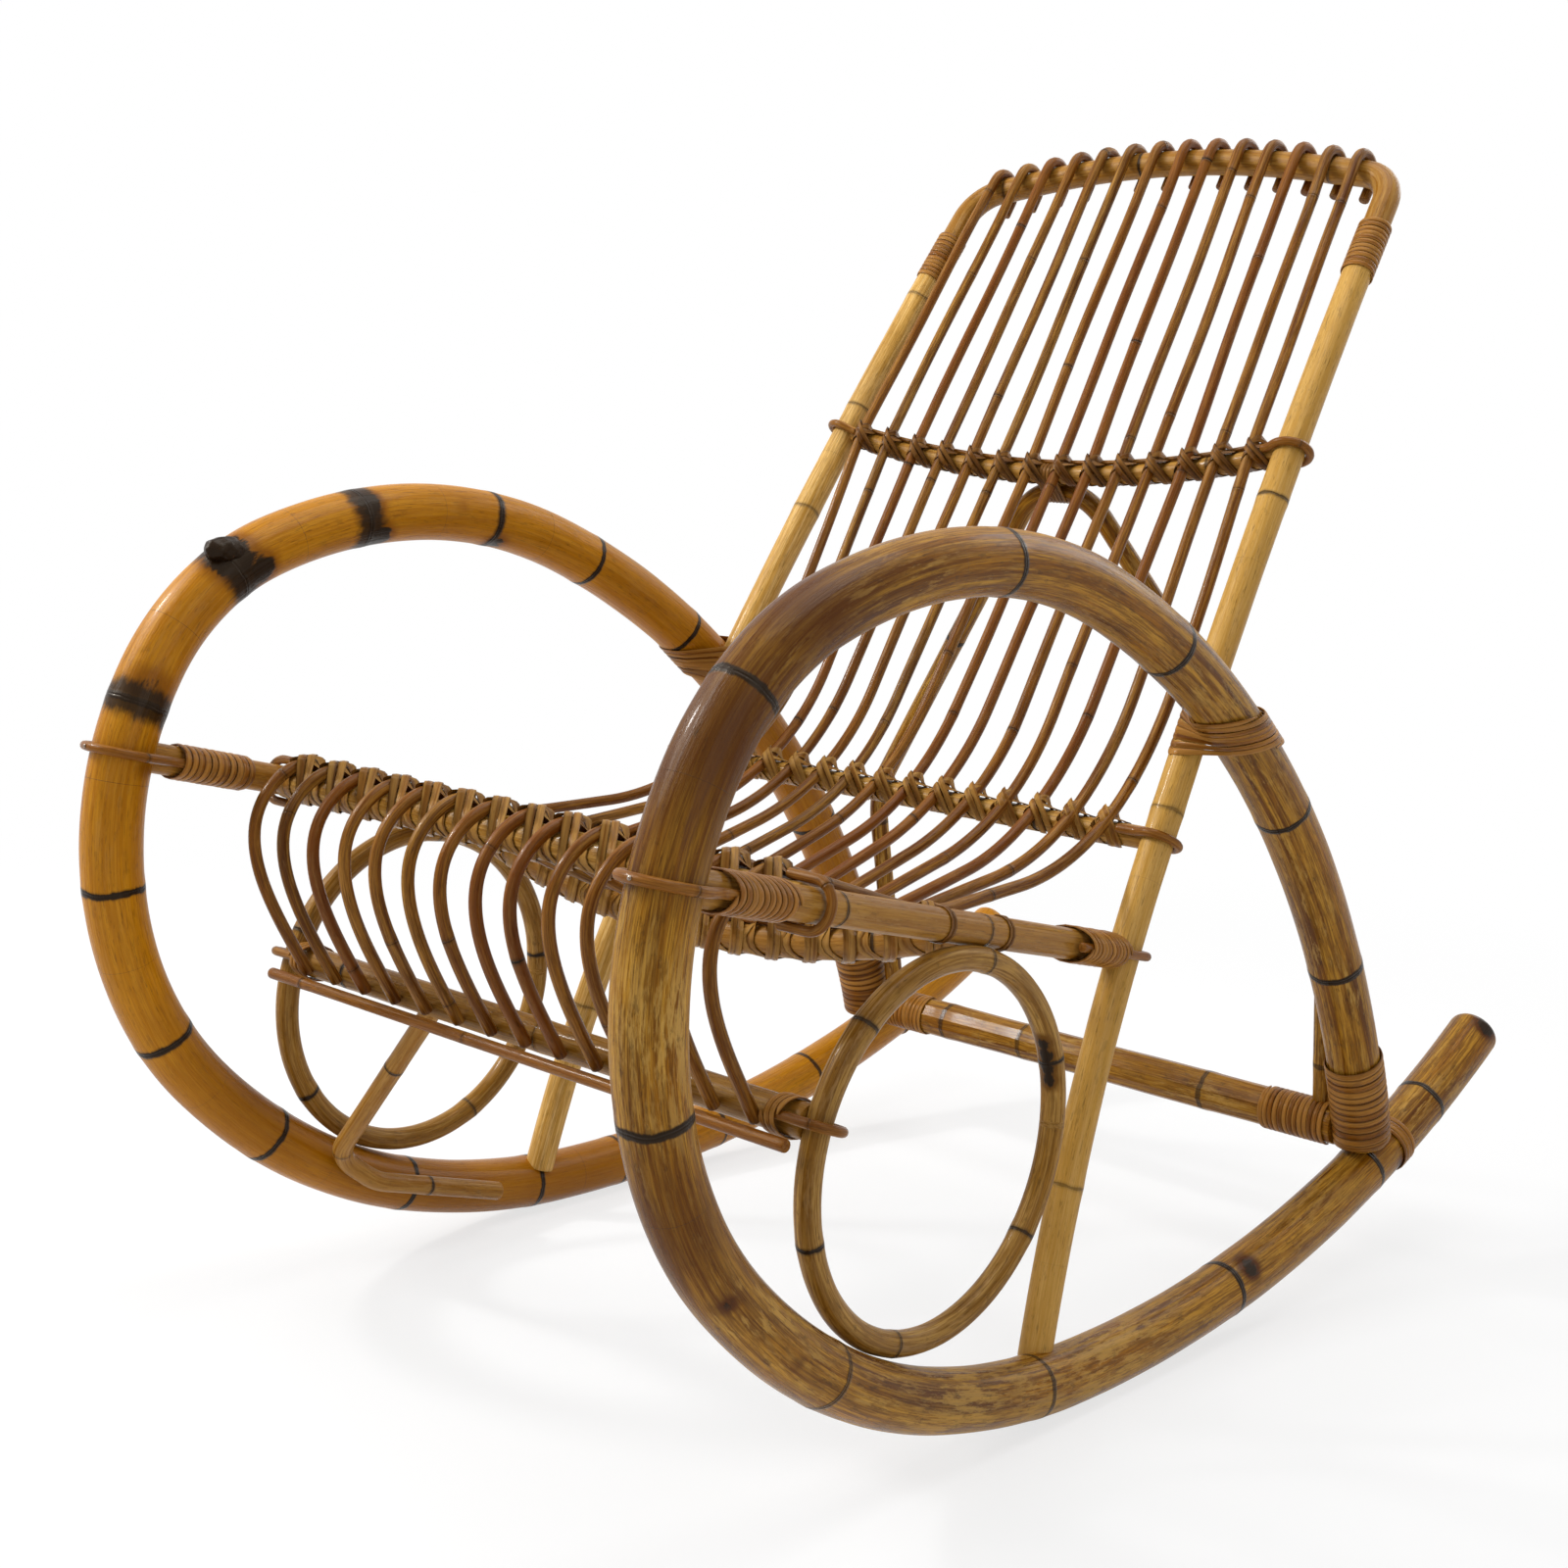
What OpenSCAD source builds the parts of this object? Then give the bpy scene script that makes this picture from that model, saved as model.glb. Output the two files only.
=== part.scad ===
// Rocking chair of bent rattan poles: two hoops that are runner and armrest in one,
// a leaning back, a dished seat of long canes, and bindings of cane peel.
// X runs across the chair, the front looks toward -Y, and Z is up from the floor.

/* [Hoops] */
// Diameter of the two bent hoop poles
pole_d = 46; // [40:1:50]
// Distance between the middle planes of the two hoops
hoop_gap = 567; // [540:1:600]
// Bend radius of the tail of each runner
tail_r = 1219; // [1150:1:1300]
// Turn of the runner's tail from its start near the floor to its end
tail_turn = 31.4; // [30:0.1:33]
// Lean of the whole chair at which it balances on its runners, positive to the back
rest_lean = 2.2; // [1.9:0.05:3]

/* [Back] */
// Diameter of the two back posts
post_d = 25; // [20:0.5:28]
// Inward lean of each back post
post_lean = 3.15; // [2.8:0.05:3.5]
// Diameter of the bent top rail
top_d = 23; // [18:0.5:25]
// Bend radius of the top rail at its two corners
corner_r = 34; // [26:1:38]
// Rise of the top rail from its corners to the peak of its bend
top_rise = 34; // [14:1:44]
// Diameter of the middle rail of the back
mid_d = 17; // [13:0.5:20]
// Height of the middle rail where it meets the posts
mid_h = 716; // [690:2:750]
// Sag of the middle rail between the posts
mid_sag = 28; // [12:1:36]
// Diameter of the rail where back and seat meet
low_d = 18; // [14:0.5:22]
// Height of the rail where back and seat meet
low_h = 411; // [400:1:424]
// Diameter of the arched brace behind the back
arch_d = 18; // [14:0.5:20]
// Bend radius at the peak of the arched brace
arch_r = 54; // [44:2:60]

/* [Seat] */
// Diameter of the two side rails of the seat
side_d = 23; // [20:0.5:25]
// Height of each side rail at the hoop
side_h = 420; // [412:1:428]
// Height of each side rail at the back post
side_back_h = 329; // [322:1:336]
// Diameter of the front seat rail
front_d = 25; // [20:0.5:28]
// Setback of the front seat rail from the front of the hoops
front_set = 140; // [132:1:150]
// Diameter of the dished middle seat rail
dish_d = 25; // [20:0.5:28]
// Setback of the dished rail from the front of the hoops
dish_set = 316; // [308:1:324]
// Sag of the dished rail between the side rails
dish_sag = 46; // [34:1:54]
// Diameter of the low front rail that holds the cane ends
low_front_d = 24; // [20:0.5:28]
// Height of the low front rail
low_front_h = 255; // [248:1:262]
// Diameter of the thin cane in front of the low front rail
strip_d = 9; // [7:0.5:10]
// Diameter of the rear stretcher between the hoops
stretcher_d = 36; // [30:1:38]

/* [Rings] */
// Radius of each side ring to the middle of its cane
ring_r = 131; // [124:1:136]
// Diameter of the ring's cane
ring_d = 18; // [14:0.5:20]
// Inward offset of each ring from the middle plane of its hoop
ring_in = 6; // [4:0.5:8]

/* [Canes] */
// Number of long canes in back and seat
canes = 14; // [10:2:14]
// Diameter of the long canes
cane_d = 9.5; // [7:0.5:10]
// Distance from the back post to the outer cane, middle to middle
cane_inset = 31; // [29:0.5:36]
// The same distance at the rail where back and seat meet
low_inset = 44; // [38:0.5:50]
// Distance from the side rail to the outer cane, middle to middle
front_inset = 34; // [30:0.5:40]
// Reach of the canes in front of the front seat rail
roll_out = 38; // [34:1:44]
// Bend radius of the canes where they roll over the front edge
roll_r = 30; // [26:1:32]
// Diameter of the bent brace from the left runner to the low front rail
brace_d = 16; // [12:0.5:18]

/* [Bindings] */
// Diameter of the canes that are bent round posts, rails and hoops
loop_d = 7; // [5:0.5:8]
// Width of the cane peel in the windings
peel_w = 5.2; // [4:0.1:5.6]
// Thickness of the cane peel in the windings
peel_t = 1.8; // [1.2:0.1:2]
// Step from one turn of a winding to the next
peel_step = 6.4; // [6.2:0.1:7]
// Width of the peel in the crossed lashings
lash_w = 3.4; // [2.4:0.1:4]
// Clearance between pieces that lie against each other
gap = 0.3; // [0.2:0.05:0.4]

/* [Hidden] */
$fn = 48;

half = hoop_gap / 2;
pole_r = pole_d / 2;
post_r = post_d / 2;
top_r = top_d / 2;
mid_r = mid_d / 2;
low_r = low_d / 2;
side_r = side_d / 2;
front_r = front_d / 2;
dish_r = dish_d / 2;
low_front_r = low_front_d / 2;
strip_r = strip_d / 2;
stretcher_r = stretcher_d / 2;
ring_rr = ring_d / 2;
cane_r = cane_d / 2;
brace_r = brace_d / 2;
loop_r = loop_d / 2;

// Vectors in the plane and in space
function unit(v) = v / norm(v);
function last(v) = v[len(v) - 1];
function mirror_x(p) = [-p[0], p[1], p[2]];
function left_of(h) = [-sin(h), cos(h)];
function heading(v) = atan2(v[1], v[0]);

// Chains of arcs in the YZ plane: a state is [y, z, heading], a step is [turn, radius].
function step_on(p, s) =
    let(q = s[0] > 0 ? 1 : -1, a = p[2] + s[0])
    [p[0] - q * s[1] * (sin(p[2]) - sin(a)),
     p[1] + q * s[1] * (cos(p[2]) - cos(a)), a];
function walk(p, steps, i = 0) = i >= len(steps) ? [p]
    : concat([p], walk(step_on(p, steps[i]), steps, i + 1));
function samples(p, steps, n) = let(st = walk(p, steps))
    [for (i = [0:len(steps) - 1]) for (k = [0.01:1:n]) step_on(st[i], [steps[i][0] * k / n, steps[i][1]])];
function nearest(v, z, i = 0, best = 0) = i >= len(v) ? v[best]
    : nearest(v, z, i + 1, abs(v[i][1] - z) < abs(v[best][1] - z) ? i : best);
// State of a sampled chain at height z.
function at_height(v, z) = let(s = nearest(v, z)) [s[0] + (z - s[1]) / tan(s[2]), z, s[2]];

// The hoop runs from its resting point forward, up, over the arm and down at the rear.
front_turn = 14;
front_r1 = 660;
front_r2 = 480;
runner_start = [0, pole_r, 180];
hoop_steps = [[-front_turn, front_r1], [-30, front_r2], [-35, 280], [-36.5, 275],
              [-40.5, 196], [-42, 410], [-30, 750], [-17, 820], [-7, 420]];
rest_turn = 0.5;
tail_start = step_on([0, pole_r, 0], [rest_turn, front_r1]);
tail_centre = [tail_start[0] - tail_r * sin(rest_turn), tail_start[1] + tail_r * cos(rest_turn)];
hoop_states = walk(runner_start, hoop_steps);
hoop_end = last(hoop_states);
tail_end = step_on(tail_start, [tail_turn, tail_r]);
hoop_samples = samples(runner_start, hoop_steps, 24);
front_samples = [for (s = hoop_samples) if (s[0] < -300) s];
rear_samples = [for (s = hoop_samples) if (s[0] > 60) s];
hoop_front_y = min([for (s = hoop_samples) s[0]]);
// Middle of the runner at depth y, in front of the resting point.
function runner_z(y) = pole_r + front_r1 - sqrt(front_r1 * front_r1 - y * y);

// Each back post stands on the runner, passes the arm and leans back along gentle arcs.
post_foot = [-29.4, 26, 79.8];
post_steps = [[-15.6, 1380], [-6.6, 5070]];
post_samples = samples(post_foot, post_steps, 60);
post_end = last(walk(post_foot, post_steps));
pivot_z = 50;
cross_z = 494;
post_foot_x = half - pole_r - post_r - gap + (cross_z - pivot_z) * tan(post_lean);
function post_y(z) = at_height(post_samples, pivot_z + (z - pivot_z) / cos(post_lean))[0];
function post_at(z) = [post_foot_x - (z - pivot_z) * tan(post_lean), post_y(z), z];
function post_dir(z) = let(h = at_height(post_samples, pivot_z + (z - pivot_z) / cos(post_lean))[2])
    [-sin(h) * sin(post_lean), cos(h), sin(h) * cos(post_lean)];
post_top_z = pivot_z + (post_end[1] - pivot_z) * cos(post_lean);

// Side rail of the right side, from the front of the hoop to the back post.
side_tan = at_height(front_samples, side_h);
side_a = [half, side_tan[0], side_h];
side_b = post_at(side_back_h);
side_dir = unit(side_b - side_a);
side_up = unit([0, -side_dir[2], side_dir[1]]);
function side_at(y) = side_a + (side_b - side_a) * (y - side_a[1]) / (side_b[1] - side_a[1]);

// Cross rails of the seat
front_y = hoop_front_y + front_set;
front_at = side_at(front_y);
dish_y = hoop_front_y + dish_set;
dish_at = side_at(dish_y);
function sag_radius(h, sag) = (h * h + sag * sag) / (2 * sag);
function sag_at(x, h, sag) = let(r = sag_radius(h, sag)) sag - r + sqrt(r * r - x * x);
function sag_slope(x, h, sag) = asin(x / sag_radius(h, sag));
function dish_z(x) = dish_at[2] - sag_at(x, dish_at[0], dish_sag);

// Each ring rests on the runner and carries the side rail: a line cut by a circle.
ring_x = half - ring_in;
ring_foot = sqrt(pow(ring_rr + pole_r + gap, 2) - ring_in * ring_in);
arc_centre = [-(front_r1 - front_r2) * sin(front_turn),
              pole_r + front_r1 - (front_r1 - front_r2) * cos(front_turn)];
rail_flat = unit([side_dir[1], side_dir[2]]);
rail_left = [-rail_flat[1], rail_flat[0]];
function ring_find(y) = let(
        dx = abs(side_at(y)[0] - ring_x),
        drop = ring_r + sqrt(max(0.01, pow(ring_rr + side_r + gap, 2) - dx * dx)),
        base = [side_a[1], side_a[2]] - drop * rail_left,
        v = base - arc_centre,
        b = v * rail_flat,
        s = -b - sqrt(b * b - v * v + pow(front_r2 - ring_r - ring_foot, 2)))
    base + s * rail_flat;
ring_rough = ring_find(dish_y);
ring_at = ring_find(ring_rough[0] + ring_r * rail_left[0]);
ring_top_y = ring_at[0] + ring_r * rail_left[0];

// Low front rail, level with the front of the rings
low_front_y = ring_at[0] - sqrt(ring_r * ring_r - pow(low_front_h - ring_at[1], 2));
low_front = [low_front_y, low_front_h];
ring_out = unit(low_front - ring_at);

// Rails of the back
low_at = post_at(low_h);
mid_at = post_at(mid_h);
mid_down = unit([0, 0.25, -0.97]);
mid_turn = asin(mid_at[0] / sag_radius(mid_at[0], mid_sag));
function mid_yz(x) = [mid_at[1], mid_at[2]]
    + sag_at(x, mid_at[0], mid_sag) * [mid_down[1], mid_down[2]];

// Top rail: a bent pole that carries on from the posts
top_start = post_at(post_top_z);
top_go = post_dir(post_top_z);
top_corner = top_start + top_go * 80;
top_mid = [0, top_corner[1] + 9, top_corner[2] + top_rise];
top_edge = unit(top_corner - top_mid);
top_bend_r = 900;
top_bend = acos(-(top_edge * mirror_x(top_edge))) / 2;
top_bis = unit(top_edge + mirror_x(top_edge));
top_centre = top_mid + top_bis * top_bend_r / cos(top_bend);
function top_yz(x) = let(
        flat = abs(x) > top_bend_r * sin(top_bend),
        p = flat ? top_mid + top_edge * abs(x / top_edge[0])
                 : top_centre - top_bis * sqrt(top_bend_r * top_bend_r - x * x))
    [p[1], p[2]];

// Rear stretcher between the ends of the hoops
stretcher_at = [hoop_end[0] - 9, hoop_end[1] + 12];

// Frame with axes ex, ey and ez at the point p
module placed(ex, ey, ez, p)
    multmatrix([[ex[0], ey[0], ez[0], p[0]],
                [ex[1], ey[1], ez[1], p[1]],
                [ex[2], ey[2], ez[2], p[2]],
                [0, 0, 0, 1]]) children();

// A straight rod from p to q
module rod(p, q, d) {
    ez = unit(q - p);
    ex = unit(cross(ez, abs(ez[0]) < 0.9 ? [1, 0, 0] : [0, 1, 0]));
    placed(ex, cross(ez, ex), ez, p) cylinder(h = norm(q - p), d = d);
}

// Part of a ring that starts at p, heads along a and bends toward n; its ends are
// cut back inside the growth nodes that join it to its neighbours
module ring_part(p, a, n, r, turn, d, cut = 0, first = false, end = false) {
    c = cut / r * 180 / PI;
    c0 = first ? 0 : c;
    c1 = end ? 0 : c;
    placed(-n, a, cross(-n, a), p + n * r)
        rotate([0, 0, c0]) rotate_extrude(angle = turn - c0 - c1, $fn = 96)
            translate([r, 0]) circle(d = d, $fn = 48);
}

// The slightly raised ring, or growth node, of a cane at p, where its bend changes
module node_ring(p, v, d) let(w = d > 15 ? 3 : 1)
    rod(p - v * w, p + v * w, d + (d > 15 ? 0.6 : 0.3));

// A rod bent round the inner points of a path, with one bend radius for each point
module bent(pts, bends, d, joined = false) {
    n = len(pts);
    cut = 0.2;
    dirs = [for (i = [0:n - 2]) unit(pts[i + 1] - pts[i])];
    turns = [for (i = [0:n - 1]) i == 0 || i == n - 1 ? 0 : acos(min(1, dirs[i - 1] * dirs[i]))];
    legs = [for (i = [0:n - 1]) turns[i] < 4 ? 0 : bends[i] * tan(turns[i] / 2)];
    trims = [for (i = [0:n - 1]) legs[i] + (i == 0 && !joined || i == n - 1 ? 0 : cut)];
    union() {
        if (joined)
            node_ring(pts[0], dirs[0], d);
        for (i = [0:n - 2])
            rod(pts[i] + dirs[i] * trims[i], pts[i + 1] - dirs[i] * trims[i + 1], d);
        for (i = [1:n - 2]) {
            node_ring(pts[i] - dirs[i - 1] * legs[i], dirs[i - 1], d);
            if (legs[i] > 0) {
                node_ring(pts[i] + dirs[i] * legs[i], dirs[i], d);
                ring_part(pts[i] - dirs[i - 1] * legs[i], dirs[i - 1],
                          unit(dirs[i] - dirs[i - 1] * (dirs[i - 1] * dirs[i])),
                          bends[i], turns[i], d, cut);
            }
        }
    }
}

// A chain of arcs in the YZ plane
module chain(p, steps, d, joined = false) {
    st = walk(p, steps);
    n = len(steps);
    union()
        for (i = [0:n - 1]) {
            h = st[i][2];
            q = steps[i][0] > 0 ? 1 : -1;
            at = [0, st[i][0], st[i][1]];
            ring_part(at, [0, cos(h), sin(h)], [0, -q * sin(h), q * cos(h)],
                      steps[i][1], abs(steps[i][0]), d, 0.2, i == 0 && !joined, i == n - 1);
            if (i > 0)
                node_ring(at, [0, cos(h), sin(h)], d);
        }
}

// A rail that sags between its end at p and the mirrored end
module sagging(p, down, sag, d) {
    r = sag_radius(p[0], sag);
    t = asin(p[0] / r);
    ring_part(mirror_x(p), [cos(t), 0, 0] + down * sin(t), [sin(t), 0, 0] - down * cos(t), r, 2 * t, d);
}

// Ellipses [u, v, a, b, k] are the sections of what a winding goes round; k is the
// shift along v for each millimetre along Z of a rod that passes at a slant.
// A station is [angle, ellipse], and the winding touches that ellipse there.
function shift(e, z) = len(e) > 4 ? e[1] + e[4] * z : e[1];
function touch(e, f, z) = let(s = norm([e[2] * cos(f), e[3] * sin(f)]))
    [e[0] + e[2] * e[2] * cos(f) / s, shift(e, z) + e[3] * e[3] * sin(f) / s];
function support(e, f, z) = e[0] * cos(f) + shift(e, z) * sin(f) + norm([e[2] * cos(f), e[3] * sin(f)]);
// Angle of the line that touches both ellipses at level z, on side 1 or -1
function tangent_at(es, z, side, lo = 0, hi = 170, i = 0) = let(m = side * (lo + hi) / 2)
    i > 22 ? m
    : support(es[0], m, z) > support(es[1], m, z) ? tangent_at(es, z, side, (lo + hi) / 2, hi, i + 1)
    : tangent_at(es, z, side, lo, (lo + hi) / 2, i + 1);
function even(n) = [for (i = [0:n - 1]) [i * 360 / n, 0]];
function far_bend(es, n) = max([for (e = es) max(e[2] * e[2] / e[3], e[3] * e[3] / e[2])])
    * (1 / cos(180 / n) - 1);
// Stations round a pole (first ellipse) and a leg on each side of it.
function with_legs(es) = let(f = acos((es[0][2] - es[1][2]) / es[1][0]))
    [[-f, 1], [-f / 3, 1], [f / 3, 1], [f, 1], [f, 0], [90, 0], [180 - f, 0],
     [180 - f, 2], [180 - f / 3, 2], [180 + f / 3, 2], [180 + f, 2], [180 + f, 0], [270, 0], [360 - f, 0]];
// Stations round two ellipses side by side along u, the first one at the right; st
// holds the steps round each. Any other list of stations is taken as it is.
function stations(es, st, z) = len(st) > 2 ? st
    : let(f = tangent_at(es, z, 1), g = tangent_at(es, z, -1))
      [for (i = [0:st[0]]) [g + i * (f - g) / st[0], 0],
       for (i = [0:st[1]]) [f + i * (360 + g - f) / st[1], 1]];
function count(st) = len(st) > 2 ? len(st) : st[0] + st[1] + 2;
// The point of a winding at its station i and level z, w to one side, lifted off the rod
function lay(es, st, i, z, lift, w = 0) = let(s = stations(es, st, z)[i % count(st)])
    touch(es[s[1]], s[0], z + w) + [cos(s[0]), sin(s[0])] * lift;

// Points of a winding that climbs along Z and bends with a pole of bend radius bow
function wind_points(es, st, turns, lift, bow) = let(n = count(st), h = peel_w / 2)
    [for (i = [0:round(n * turns)])
        let(z = (i / n - turns / 2) * peel_step, c = gap + lift)
        for (q = [[lay(es, st, i, z, c, -h), z - h], [lay(es, st, i, z, c, h), z + h],
                  [lay(es, st, i, z, c + peel_t), z]])
            bow == 0 ? [q[0][0], q[0][1], q[1]]
                : let(a = q[1] / bow * 180 / PI)
                  [(bow + q[0][0]) * cos(a) - bow, q[0][1], (bow + q[0][0]) * sin(a)]];
function tube_faces(k) = concat(
    [[0, 1, 2]],
    [for (i = [0:k - 2]) for (j = [0:2])
        let(a = 3 * i + j, b = 3 * i + (j + 1) % 3)
        each [[a, a + 3, b], [b, a + 3, b + 3]]],
    [[3 * k - 1, 3 * k - 2, 3 * k - 3]]);
// Least gap of a winding to its own next turn
function self_gap(pts, n) = min([for (i = [0:3:len(pts) - 3 * n - 3])
    min(norm(pts[i + 1] - pts[i + 3 * n]), norm(pts[i + 2] - pts[i + 2 + 3 * n]) - peel_w / 2)]);

module winding(es, st, turns, bow = 0, bend_n = 14) {
    pts = wind_points(es, st, turns, far_bend(es, bend_n), bow);
    echo(winding_turns = turns, least_gap_to_itself = self_gap(pts, count(st)));
    polyhedron(pts, tube_faces(len(pts) / 3), convexity = 6);
}

// A closed lashing in the plane of its ellipses
module lash(es, st, w = lash_w) {
    n = count(st);
    c = gap + far_bend(es, 11.5);
    pts = [for (i = [0:n - 1])
        let(p = lay(es, st, i, 0, c, -w / 2), q = lay(es, st, i, 0, c, w / 2), o = lay(es, st, i, 0, c + 1.5))
        each [[p[0], p[1], -w / 2], [q[0], q[1], w / 2], [o[0], o[1], 0]]];
    faces = [for (i = [0:n - 1]) for (j = [0:2])
        let(a = 3 * i + j, b = 3 * i + (j + 1) % 3, e = (a + 3) % (3 * n), g = (b + 3) % (3 * n))
        each [[a, e, b], [b, e, g]]];
    polyhedron(pts, faces, convexity = 4);
}

// Frame at p whose Z runs along dir and whose X lies toward u
module along(p, dir, u) {
    ez = unit(dir);
    ex = unit(u - ez * (u * ez));
    placed(ex, cross(ez, ex), ez, p) children();
}

// A hairpin of cane round a pole of radius host at the origin, with legs beside a rod
// of radius guest that lies along X
module hairpin(host, guest, leg) {
    g = guest + loop_r + gap;
    free = host + loop_r + gap;
    r = free - g < 2 ? max(free, g) : free;
    f = 20;
    a = r - g > 3 ? 24 : r - g >= 2 ? 14 : 0;
    gg = a == 0 ? r : g;
    x1 = a == 0 ? 0 : (r + f - (g + f) * cos(a)) / sin(a);
    t = [r * sin(a), r * cos(a), 0];
    p = [x1 - f * sin(a), g + f - f * cos(a), 0];
    reach = max(leg, x1 + 2);
    cut = 0.2;
    union() {
        ring_part(t, [-cos(a), sin(a), 0], [-sin(a), -cos(a), 0], r, 180 + 2 * a, loop_d, cut);
        for (s = [-1, 1]) {
            v = [cos(a), -s * sin(a), 0];
            q = [t[0], s * t[1], 0];
            node_ring(q, v, loop_d);
            rod([reach, s * gg, 0], [x1 + cut, s * gg, 0], loop_d);
            if (a > 0) {
                rod([p[0], s * p[1], 0] - v * cut, q + v * cut, loop_d);
                node_ring([p[0], s * p[1], 0], v, loop_d);
                node_ring([x1, s * gg, 0], [1, 0, 0], loop_d);
                ring_part([x1, s * gg, 0], [-1, 0, 0], [0, s, 0], f, a, loop_d, cut);
            }
        }
    }
}
// Distance of a hairpin's legs from the middle of its rod
function leg_off(host, guest) = let(g = guest + loop_r + gap, free = host + loop_r + gap)
    free - g < 2 ? max(free, g) : g;

// The hairpin at p: its legs lead along dir and lie apart toward u
module hairpin_at(p, dir, u, host, guest, leg) {
    ex = unit(dir);
    ey = unit(u - ex * (u * ex));
    placed(ex, ey, cross(ex, ey), p) hairpin(host, guest, leg);
}

// Pose of the whole chair: it leans about the middle of the tail's bend, and the
// middle of its length lies at the origin. The bent loops at the hoops reach foremost.
function leaned(y, z) = (y - tail_centre[0]) * cos(rest_lean) + (z - tail_centre[1]) * sin(rest_lean);
depth_dir = [0, cos(rest_lean), sin(rest_lean)];
loop_flat = unit([1, 0, 0] - side_dir * side_dir[0]);
loop_front = leaned(side_a[1], side_a[2]) - loop_r
    - (pole_r + 0.2 + loop_r + gap) * norm([side_dir * depth_dir, loop_flat * depth_dir]);
front_end = min(loop_front, min([for (s = hoop_samples) leaned(s[0], s[1])]) - pole_r);
back_end = max([for (k = [-pole_r, pole_r])
    leaned(tail_end[0] + k * sin(tail_end[2]), tail_end[1] - k * cos(tail_end[2]))]);
module pose()
    translate([0, -(front_end + back_end) / 2, pole_r + tail_r])
        rotate([-rest_lean, 0, 0])
            translate([0, -tail_centre[0], -tail_centre[1]]) children();
module left() mirror([1, 0, 0]) children();
module both() {
    children();
    left() children();
}

// Arc of the tail that starts at the turn a, with its ends cut back or not
module tail_arc(a, d, cut) {
    t = step_on(tail_start, [a, tail_r]);
    ring_part([0, t[0], t[1]], [0, cos(t[2]), sin(t[2])], [0, -sin(t[2]), cos(t[2])],
              tail_r, tail_turn - a, d, cut, false, true);
}

module hoop() translate([half, 0, 0]) {
    front = [for (i = [1:len(hoop_steps) - 1]) hoop_steps[i]];
    difference() {
        chain([tail_start[0], tail_start[1], tail_start[2] + 180],
              concat([[-front_turn - rest_turn, front_r1]], front), pole_d, true);
        tail_arc(12, pole_d + 2 * gap, 0);
    }
    tail_arc(0.001, pole_d, 0.2);
    node_ring([0, tail_start[0], tail_start[1]], [0, cos(rest_turn), sin(rest_turn)], pole_d);
}

module post() difference() {
    translate([post_foot_x, 0, pivot_z]) rotate([0, -post_lean, 0]) translate([0, 0, -pivot_z])
        chain(post_foot, post_steps, post_d);
    y = post_foot[0];
    rod([half, y - 60, runner_z(y - 60)], [half, y + 60, runner_z(y + 60)], pole_d + 2 * gap + 4);
    translate([half - 90, y - 60, -10]) cube([120, 120, runner_z(y) + pole_r * 0.5 + 10]);
}

module ring() translate([ring_x, ring_at[0], ring_at[1]])
    rotate([0, 90, 0]) rotate_extrude($fn = 96) translate([ring_r, 0]) circle(d = ring_d);

module side_rail() difference() {
    rod(side_a, side_b, side_d);
    v = [0, cos(side_tan[2]), sin(side_tan[2])] * 60;
    rod(side_a - v, side_a + v, pole_d + 4 * gap);
    post_cut(side_back_h);
}

// The room of a back post near height z
module post_cut(z) rod(post_at(z) - post_dir(z) * 50, post_at(z) + post_dir(z) * 50, post_d + 3 * gap);
module side_cut(y) rod(side_at(y - 60), side_at(y + 60), side_d + 2 * gap);

// Headings of the lines between neighbouring spots that lie at the given offsets to their left
function heads(spots, offs) = [for (k = [0:len(spots) - 2])
    let(v = spots[k + 1][0] - spots[k][0]) heading(v) - asin((offs[k + 1] - offs[k]) / norm(v))];
// Offsets at which the bends of the path pass each spot at its distance
function offsets(spots, h) = [for (k = [0:len(spots) - 1])
    let(s = spots[k], last_k = len(spots) - 1)
    k == 0 || k == last_k ? s[1]
    : let(t = (h[k] - h[k - 1] + 540) % 360 - 180, q = t > 0 ? 1 : -1)
      (s[1] - q * s[2]) * cos(t / 2) + q * s[2]];
function settled(spots, offs, n) = n == 0 ? offs : settled(spots, offsets(spots, heads(spots, offs)), n - 1);
function lane(i, w) = (i - (canes + 1) / 2) * 2 * w / (canes - 1);

// Path of a long cane: the x of each bend, what the cane passes as middle, distance to
// it and bend radius there, the headings between the bends, and the offsets of the lines
function cane_path(i) = let(
        xt = lane(i, top_corner[0] - cane_inset),
        xm = lane(i, mid_at[0] - cane_inset + 3),
        xl = lane(i, low_at[0] - low_inset),
        xf = lane(i, front_at[0] - front_inset),
        xe = lane(i, ring_x - cane_inset - 8.5),
        xd = xl + (xf - xl) * (low_at[1] - dish_y) / (low_at[1] - front_y),
        hook = top_r / cos(top_bend) + cane_r + gap,
        roll = [front_y - roll_out + roll_r, front_at[2] - 15],
        spots = [
            [top_yz(xt), hook, hook],
            [mid_yz(xm), (mid_r + cane_r + gap) / cos(sag_slope(xm, mid_at[0], mid_sag)), 120],
            [[low_at[1], low_h], low_r + cane_r + gap, 45],
            [[dish_y, dish_z(xd)], (dish_r + cane_r + gap) / cos(sag_slope(xd, dish_at[0], dish_sag)), 170],
            [[front_y, front_at[2]], front_r + cane_r + gap, front_r + cane_r + gap],
            [roll, roll_r, roll_r],
            [low_front, low_front_r + cane_r + gap, 60]],
        offs = settled(spots, [for (s = spots) s[1]], 6))
    [[xt, xm, xl, xd, xf, xf * 0.7 + xe * 0.3, xe], spots, heads(spots, offs), offs];

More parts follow.
